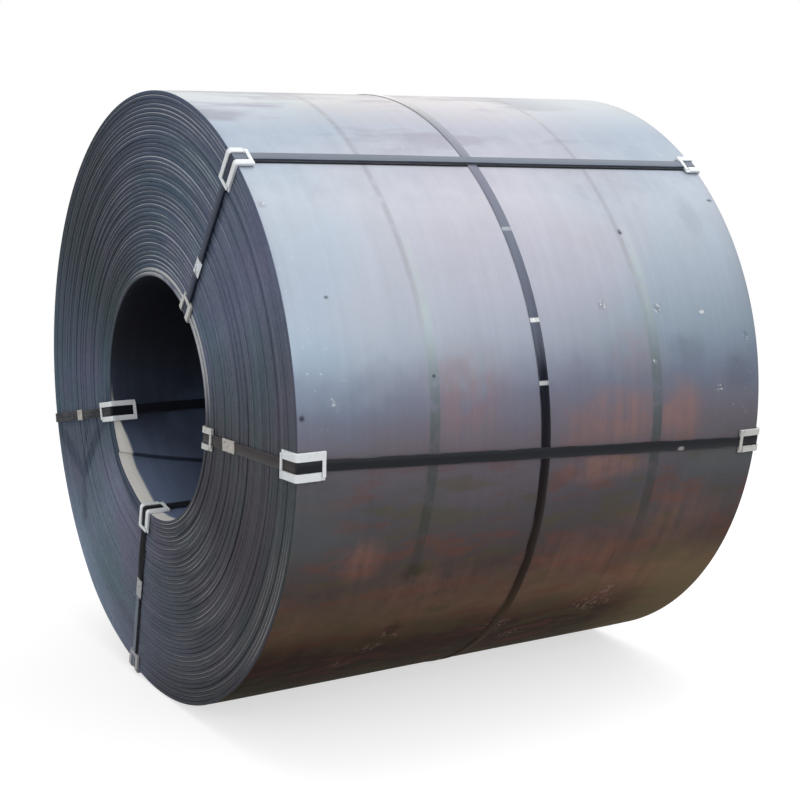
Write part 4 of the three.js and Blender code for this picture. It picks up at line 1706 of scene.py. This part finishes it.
@dataclass
class Protector:
    """A bent plate over one edge, its side bands keeping the strap in a channel, with a hook at
    the end of each leg that reaches over the strap from one side."""

    strap: EyeStrap
    end: End
    rim: Rim
    channel: float = 16.5 * MM
    plate: float = 3.0 * MM
    height: float = 7.6 * MM
    hook_lift: float = 4.6 * MM
    hook_length: float = 10.0 * MM
    hook_short: float = 8.0 * MM
    mouth: float = 4.0 * MM
    step: float = 0.6 * MM
    nudge: float = 0.001 * MM
    soft: float = 1.1 * MM
    stub: float = 0.2 * MM
    overhang: float = 0.25 * MM
    leg_start: float = 8.0 * MM
    leg_stations: int = 3
    bend_stations: int = 9
    bevel: float = 0.45 * MM
    bevel_degrees: float = 35.0

    def crossing(self) -> Crossing:
        """The crossing that it is at."""
        return self.strap.crossings[self.end, self.rim]

    def place(self) -> str:
        """Where it is, in words."""
        return f"{self.strap.name}_{self.end.name.lower()}_{self.rim.name.lower()}"

    def slope(self) -> float:
        """How far sideways the strap runs for each metre down the end from this edge.

        With a the angle to the crossing at the other edge, and h and t the radii of the bends here
        and there: t sin a / |h - t cos a|.
        """
        other = Rim.INNER if self.rim is Rim.OUTER else Rim.OUTER
        angle = math.radians(self.strap.crossings[self.end, other].clock - self.crossing().clock)
        bends = self.strap.bends()
        here, there = bends[::-1] if self.rim is Rim.OUTER else bends
        return there * math.sin(angle) / abs(here - there * math.cos(angle))

    def leg(self, length: float) -> Array:
        """Distances of a leg's stations from its end, in close pairs where a hook or band begins."""
        hook, mouth = self.hook_length, self.hook_length + self.mouth
        pairs = [0.0, hook, hook + self.step, mouth, mouth + self.step]
        even = np.linspace(mouth + self.leg_start, length, self.leg_stations, endpoint=False)
        return np.append(pairs, even)

    def path(self) -> Array:
        """The plate's inner side from the end of one leg to the end of the other.

        It runs straight along the barrel or bore, round a quarter circle and down the coil's end.

        Returns:
            Rows for the place along, the radius, the two parts of the outward direction, and the
            distance to the end of the leg, negative on the leg along the barrel or bore.
        """
        strap, crossing = self.strap, self.crossing()
        side, rim = self.end.value, self.rim.value
        on_barrel = self.rim is Rim.OUTER
        surface = strap.barrel_surface if on_barrel else strap.bore_surface
        edge = strap.edge_radius if on_barrel else WoundStrip.bore_radius
        bend = strap.bend_radius
        centre = surface - rim * bend
        reach = WoundStrip.width / 2.0 - crossing.rim_leg * MM
        leg_end = edge - rim * crossing.face_leg * MM
        rim_leg = self.leg(strap.half_width - bend - reach)
        face_leg = self.leg(abs(centre - leg_end))[::-1]
        turn = np.linspace(0.0, np.pi / 2.0, self.bend_stations)
        sine, cosine = np.sin(turn), np.cos(turn)
        past = side * (strap.half_width - bend * (1.0 - sine))
        return end_to_end(
            (side * (reach + rim_leg), surface, 0.0, rim, -rim_leg - self.nudge),
            (past, centre + rim * bend * cosine, side * sine, rim * cosine, np.inf),
            (side * strap.half_width, leg_end + rim * face_leg, side, 0.0, face_leg),
        )

    def section(self, to_end: Array) -> Array:
        """The plate's section at each station.

        It runs round the base, over one band, across the channel's floor and over the other band.
        The bands' corners are cut off by soft. At the hook, its band's tip reaches over the
        channel, and the band across from it is cut down to a stub there and at the mouth.

        Args:
            to_end: Distance to the end of the leg, negative on the leg along the barrel or bore.

        Returns:
            Distance across and height, by station and place.
        """
        hook_side = self.crossing().hook_side
        half = self.crossing().width / 2.0 * MM
        distance = np.abs(to_end)[:, None]
        joined = np.where(to_end < 0.0, -hook_side, hook_side)[:, None]
        hooked = distance < self.hook_length + self.step / 2.0
        stopped = distance < self.hook_length + self.mouth + self.step / 2.0
        places = []
        for hand in (1, -1):
            springs = hooked & (joined == hand)
            stops = stopped & (joined != hand)
            top = np.where(stops, self.plate + self.stub, self.height)
            under = np.where(stops, self.plate + self.stub / 2.0, self.hook_lift)
            tip = np.where(springs, self.hook_short - half, self.channel - self.overhang)
            shoulder = np.where(stops, self.stub / 2.0, self.soft)
            band = [
                (half, 0.0),
                (half, top - shoulder),
                (half - shoulder, top),
                (tip, top),
                (tip, under),
                (self.channel, under),
                (self.channel, self.plate),
            ]
            band = band if hand > 0 else band[::-1]
            places += [(hand * across, height, distance) for across, height in band]
        return end_to_end(*places)[:2]

    def build(self, paint: Material) -> None:
        """Makes the protector and dresses it.

        The section is carried along the path, in the plane of the strap's crossing. On the leg
        down the end it slides sideways with the strap.

        Args:
            paint: Its finish.
        """
        along, radius, out_along, out_radius, to_end = self.path()
        across, height = self.section(to_end)
        x = along[:, None] + out_along[:, None] * height
        r = radius[:, None] + out_radius[:, None] * height
        rim = self.rim.value
        bend = self.strap.bends()[1 if self.rim is Rim.OUTER else 0]
        aside = self.slope() * np.maximum(0.0, rim * (bend - r))
        grid = Grid(about_axis(x, r, self.crossing().clock, across + aside), closed=False)
        piece = grid.build(f"edge_protector_{self.place()}")
        bevel = piece.modifiers.new("softened_edges", "BEVEL")
        bevel.width = self.bevel
        bevel.segments = 2
        bevel.limit_method = "ANGLE"
        bevel.angle_limit = math.radians(self.bevel_degrees)
        dress(piece, "protector_paint", f"protector_{self.place()}", paint)


@dataclass
class Seal:
    """A sleeve folded round the strap, its ends meeting underneath, with two crimps in each side."""

    strap: EyeStrap
    width: float = 37.0 * MM
    wall: float = 1.2 * MM
    height: float = 4.0 * MM
    slit: float = 0.35 * MM
    outer_corner: float = 1.9 * MM
    inner_corner: float = 0.7 * MM
    corner_stations: int = 7
    crimp: float = 1.6 * MM
    crimp_half: float = 4.5 * MM
    crimp_place: float = 0.36
    crimp_shoulder: float = 0.55
    crimp_start: float = 11.0 * MM
    crimp_run: float = 6.0 * MM

    def section(self) -> tuple[Array, Array, Array]:
        """The sleeve's wall, cut through.

        It runs from the slit underneath, round the outside, and back round the inside.

        Returns:
            Distance across and height of each place, and how much of a crimp it takes.
        """
        outside = self.folded(0.0, self.outer_corner)
        inside = self.folded(self.wall, self.inner_corner)
        across, height = np.concatenate([outside, inside[:, ::-1]], axis=1)
        crimped = smooth_step((np.abs(across) - self.crimp_start) / self.crimp_run)
        return across, height, crimped

    def folded(self, inset: float, corner: float) -> Array:
        """A rounded rectangle from just past the middle of its underside round to just short of it.

        Args:
            inset: How far it lies inside the sleeve's outside.
            corner: Radius of its corners.

        Returns:
            Distance across and height, by place.
        """
        half, up = self.width / 2.0 - inset, self.height / 2.0 - inset
        turn = np.linspace(-np.pi / 2.0, np.pi / 2.0, self.corner_stations)
        right = half - corner + corner * np.cos(turn)
        rise = (up - corner) * np.sign(np.sin(turn)) + corner * np.sin(turn)
        across = np.concatenate([[self.slit], right, -right[::-1], [-self.slit]])
        return np.stack([across, np.concatenate([[-up], rise, rise[::-1], [-up]])])

    def build(self, steel: Material) -> None:
        """Makes the seal and dresses it.

        The wall's section is carried along the strap on the near end, with two crimps a third of
        the way in from its ends. Its centre lies on the straight line between the strap's bends,
        a share of the way out that is the seal's radius as a share between the bends' radii.

        Args:
            steel: Its finish.
        """
        strap = self.strap
        across, height, crimped = self.section()
        half = strap.seal_length / 2.0
        crimps = np.array([-self.crimp_place, self.crimp_place]) * half
        steps = np.array([-1.0, -self.crimp_shoulder, 0.0, self.crimp_shoulder, 1.0])
        steps = (crimps[:, None] + steps * self.crimp_half).ravel()
        places = np.concatenate([[-half], steps, [half]])[:, None]
        nearest = np.min(np.abs(places - crimps), axis=1)[:, None]
        inward = self.crimp * (1.0 - smooth_step(nearest / self.crimp_half)) * crimped
        across = np.sign(across) * (np.abs(across) - inward)
        low, high = strap.bends()
        near = [strap.crossings[End.NEAR, rim].clock for rim in (Rim.INNER, Rim.OUTER)]
        start = about_axis(0.0, low, near[0])
        finish = about_axis(0.0, high, near[1])
        centre = start + (strap.seal_radius - low) / (high - low) * (finish - start)
        forward = (finish - start) / np.linalg.norm(finish - start)
        sideways = np.cross([1.0, 0.0, 0.0], forward)
        face = -(strap.half_width + strap.lift + strap.section.thickness / 2.0)
        points = centre + places[..., None] * forward + across[..., None] * sideways
        points[..., 0] = face - np.broadcast_to(height, across.shape)
        piece = Grid(points, closed=False).build(f"strap_seal_{strap.name}", sharp_degrees=60.0)
        dress(piece, "seal_steel", f"seal_{strap.name}", steel)


# ---- studio


@dataclass(frozen=True)
class AreaLamp:
    """A rectangular lamp: its middle, its two sides, its turns about X, Y and Z in degrees from
    facing straight down, and how bright it would look."""

    name: str
    place: Vector
    size: tuple[float, float]
    turn: Vector
    radiance: float

    def build(self) -> None:
        """Adds the lamp, which isn't seen itself."""
        light = bpy.data.lights.new(self.name, "AREA")
        light.shape = "RECTANGLE"
        light.size, light.size_y = self.size
        light.energy = self.radiance * math.pi * self.size[0] * self.size[1]
        lamp = added(self.name, light)
        lamp.location = self.place
        lamp.rotation_euler = Euler(tuple(math.radians(a) for a in self.turn))
        lamp.visible_camera = False


@dataclass(frozen=True)
class Studio:
    """Floor, lamps, world and camera. A wide soft lamp hangs over the barrel, one stands before
    each seen side, and a wide sun is high up."""

    floor_radius: float = 14.0
    floor_hub: float = 0.01
    floor_rings: int = 24
    floor_sides: int = 96
    floor_seen: Colour = (0.5, 0.5, 0.505)
    floor_unseen: Colour = (0.12, 0.12, 0.12)
    floor_glow: float = 0.62
    whitening: Span = (0.12, 0.5)
    lamps: tuple[AreaLamp, ...] = (
        AreaLamp("overhead", (2.2, -1.0, 4.0), (4.6, 12.0), (0.0, 0.0, 0.0), 0.82),
        AreaLamp("left", (-7.0, -2.6, 2.6), (6.0, 4.5), (76.0, 0.0, -72.0), 2.0),
        AreaLamp("front", (0.8, -7.0, 2.6), (7.5, 4.5), (76.0, 0.0, 0.0), 1.5),
    )
    sun_energy: float = 0.4
    sun_size: float = 28.0
    sun_tilt: float = -6.0
    lens: float = 67.763
    sensor: float = 36.0
    camera_place: Vector = (-2.58714, -4.30414, 1.69518)
    camera_down: float = 7.3705
    camera_turn: float = -29.9374
    camera_reach: float = 200.0
    shift: float = 0.0625

    def build(self) -> None:
        """Sets up everything round the coil."""
        self.floor()
        self.world()
        for lamp in self.lamps:
            lamp.build()
        self.sun()
        self.camera()

    def floor(self) -> None:
        """A flat disc: rings of points whose radius grows as the square of their number."""
        rings, sides = self.floor_rings, self.floor_sides
        ring = np.linspace(0.0, 1.0, rings)[:, None] ** 2 * self.floor_radius + self.floor_hub
        side = np.radians(np.arange(sides) * 360.0 / sides)
        points = np.stack([ring * np.cos(side), ring * np.sin(side), 0.0 * ring * side], axis=-1)
        grid = Grid(points, closed=False)
        faces = [*grid.quads()[0].tolist(), grid.caps()[0].tolist()]
        mesh = bpy.data.meshes.new("floor")
        mesh.from_pydata(points.reshape(-1, 3).tolist(), [], faces)
        mesh.materials.append(self.floor_finish())
        added("floor", mesh)

    @staticmethod
    def seen(shader: Shader) -> Value:
        """1 for a ray from the camera, a reflection or a transmission, and 0 for other light."""
        camera = shader.node("ShaderNodeLightPath", {}, {}, "Is Camera Ray")
        return camera.most(camera.also("Is Glossy Ray")).most(camera.also("Is Transmission Ray"))

    @staticmethod
    def glow(shader: Shader, kind: str, strength: Value) -> Value:
        """A white glow from a node of this kind."""
        return shader.node(kind, {}, {"Color": (1.0, 1.0, 1.0), "Strength": strength})

    def floor_finish(self) -> Material:
        """Pale grey that runs out to the white background; duller for the light that it returns.

        Returns:
            The material.
        """
        shader = Shader(bpy.data.materials.new("floor"))
        place = shader.node("ShaderNodeTexCoord", {}, {}, "Object")
        radius = shader.node("ShaderNodeVectorMath", {"operation": "LENGTH"}, {0: place}, "Value")
        seen = self.seen(shader)
        far = radius.rise(*(self.floor_radius * share for share in self.whitening))
        tone = 0.97 + shader.noise(place, 0.01, 3.0) * 0.06
        pale = shader.toned(shader.mixed(seen, self.floor_unseen, self.floor_seen), tone)
        matt = shader.node("ShaderNodeBsdfDiffuse", {}, {"Color": pale})
        glow = self.glow(shader, "ShaderNodeEmission", seen * self.floor_glow)
        lit = shader.node("ShaderNodeAddShader", {}, {0: matt, 1: glow})
        white = self.glow(shader, "ShaderNodeEmission", seen * 0.9 + 0.1)
        return shader.ended(shader.node("ShaderNodeMixShader", {}, {0: far, 1: lit, 2: white}))

    def world(self) -> None:
        """White where it is seen or reflected, and softer as light."""
        world = bpy.data.worlds.new("studio")
        bpy.context.scene.world = world
        shader = Shader(world)
        glow = self.glow(shader, "ShaderNodeBackground", self.seen(shader) * 0.4 + 0.6)
        shader.ended(glow, "ShaderNodeOutputWorld")

    def sun(self) -> None:
        """Adds the sun, as wide as its size in degrees and tilted from straight down."""
        light = bpy.data.lights.new("sun", "SUN")
        light.energy = self.sun_energy
        light.angle = math.radians(self.sun_size)
        added("sun", light).rotation_euler = Euler((0.0, math.radians(self.sun_tilt), 0.0))

    def camera(self) -> None:
        """Stands the camera at a person's height, left of the coil and in front of it."""
        data = bpy.data.cameras.new("camera")
        data.lens = self.lens
        data.sensor_width = self.sensor
        data.shift_x = self.shift
        data.shift_y = -self.shift
        data.clip_end = self.camera_reach
        camera = added("camera", data)
        camera.location = self.camera_place
        down, turn = math.radians(90.0 - self.camera_down), math.radians(self.camera_turn)
        camera.rotation_euler = Euler((down, 0.0, turn))
        bpy.context.scene.camera = camera


def eye_straps() -> list[EyeStrap]:
    """The four straps through the bore, with their crossings as the frame has them."""

    def crossings(*given: tuple[float, ...]) -> dict[tuple[End, Rim], Crossing]:
        """Names the near outer, near inner, far outer and far inner crossings."""
        keys = [(end, rim) for end in End for rim in Rim]
        return {key: Crossing(*one) for key, one in zip(keys, given, strict=True)}

    upper = crossings(
        (38.3, -1, 90.0, 50.0, 70.0),
        (40.5, 1, 52.0, 60.0, 66.0),
        (40.8, 1, 66.0, 50.0, 70.0),
        (40.8, -1, 60.0, 66.0, 66.0),
    )
    front = crossings(
        (93.0, 1, 80.0, 82.0, 78.0),
        (99.3, -1, 56.0, 60.0, 68.0),
        (97.7, 1, 80.0, 74.0, 72.0),
        (97.7, 1, 60.0, 66.0, 68.0),
    )
    bottom = crossings(
        (-167.5, -1, 54.0, 60.0, 66.0),
        (-167.5, 1, 66.0, 68.0, 66.0),
        (-167.5, 1, 60.0, 60.0, 66.0),
        (-167.5, -1, 60.0, 66.0, 66.0),
    )
    rear = crossings(
        (-102.3,),
        (-104.5, 1, 88.0, 84.0, 66.0),
        (-102.3, 1, 66.0, 66.0, 70.0),
        (-104.5, -1, 60.0, 66.0, 66.0),
    )
    return [
        EyeStrap("upper", 556.0 * MM, 52.0 * MM, upper, seed=3),
        EyeStrap("front", 550.0 * MM, 76.0 * MM, front, seed=5),
        EyeStrap("bottom", 656.0 * MM, 62.0 * MM, bottom, seed=7, twist_degrees=4.0),
        EyeStrap("rear", 680.0 * MM, 46.0 * MM, rear, seed=9),
    ]


def strap_paints() -> dict[str, Material]:
    """Makes the paint of each strap.

    Returns:
        The materials by the straps' names, in which "around" is the one round the barrel.
    """
    # The around strap's shades are painted reflection and shade, pale on top and dark lower down,
    # turning brown near the bottom.
    around_sheen = (
        (8.0, (0.7, 0.69, 0.68)), (20.0, (0.4, 0.4, 0.415)),
        (30.0, (0.28, 0.29, 0.34)), (44.0, (0.2, 0.205, 0.265)),
        (55.0, (0.17, 0.19, 0.24)), (66.0, (0.125, 0.14, 0.19)),
        (76.0, (0.085, 0.095, 0.13)), (82.0, (0.008, 0.01, 0.018)),
        (104.0, (0.013, 0.009, 0.009)), (118.0, (0.022, 0.014, 0.011)),
        (132.0, (0.07, 0.046, 0.032)),
    )
    marks = ((55.2, 0.35), (72.3, 1.0), (83.2, 0.6))
    # The upper strap's sheen on the barrel is painted reflection, and its darker edge painted shadow.
    upper_sheen = ((40.0, (0.18, 0.205, 0.25)),)
    upper_paint = (0.05, 0.062, 0.092)
    front_fleck = Patch(97.65, 0.497, 0.018, 0.01)
    paints = {
        "around": StrapPaint("around_strap_paint", shades=around_sheen, gloss=0.04, marks=marks),
        "upper": StrapPaint(
            "upper_strap_paint", upper_paint, upper_sheen, dusting=0.0, shaded_edge=0.9, gloss=0.03
        ),
        "front": StrapPaint("eye_strap_paint", flecks=(front_fleck,)),
        # The bottom strap carries a painted reflection on the ends.
        "bottom": StrapPaint("bottom_strap_paint", dusting=0.3, sheen_beyond=0.62),
        "rear": StrapPaint("rear_strap_paint", dust_and_light=(0.022, 0.023, 0.029), gloss=0.06),
    }
    return {strap: paint.build() for strap, paint in paints.items()}


def seal_steels() -> dict[str, Material]:
    """The steel of the seals that aren't like the rest, by their straps' names: the upper seal's is a
    paler copy with painted light.
    """
    lit_copy = SealSteel("lit_seal_steel", pale=(0.68, 0.74, 0.8))
    return {"upper": lit_copy.build(), "bottom": SealSteel("dull_seal_steel", (0.3, 0.32, 0.35)).build()}


def protector_paints() -> dict[str, Material]:
    """Makes the paint of the protectors that aren't plain white.

    Returns:
        The materials by the protectors' places.
    """
    grubby = ProtectorPaint("grubby_protector_paint", (0.56, 0.56, 0.54), (0.3, 0.29, 0.27))
    # The bottom near outer protector's grey paint is white paint with painted shade.
    dull = ProtectorPaint("dull_protector_paint", (0.33, 0.33, 0.345), (0.19, 0.19, 0.2))
    # The front far outer protector gets the same darker paint as the two grubby near inner ones.
    places = ("upper_near_inner", "front_near_inner", "front_far_outer")
    paints = dict.fromkeys(places, replace(grubby, chipping=0.6).build())
    return paints | {"bottom_near_outer": replace(dull, chipping=0.6).build()}


def main() -> None:
    """Builds the coil, its straps and the studio."""
    logging.basicConfig(level=logging.INFO, format="%(name)s %(message)s")
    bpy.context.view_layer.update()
    strip = WoundStrip()
    edges = TurnEdges().build()
    CoilBody(strip).build(MillScale().build(), edges, BoreScale().build())
    EndTurns(strip, End.NEAR, 21, NEAR_PROUD_TURNS).build(edges)
    EndTurns(strip, End.FAR, 57, FAR_PROUD_TURNS).build(edges)
    paints = strap_paints()
    steel, odd_steels = SealSteel().build(), seal_steels()
    clean, odd_paints = ProtectorPaint().build(), protector_paints()
    AroundStrap(strip).build(paints["around"])
    for strap in eye_straps():
        strap.build(paints[strap.name])
        Seal(strap).build(odd_steels.get(strap.name, steel))
        for (end, rim), crossing in strap.crossings.items():
            if crossing.width:
                protector = Protector(strap, end, rim)
                protector.build(odd_paints.get(protector.place(), clean))

    Studio().build()
    bpy.context.scene.view_settings.view_transform = "Standard"


if __name__ == "__main__":
    main()
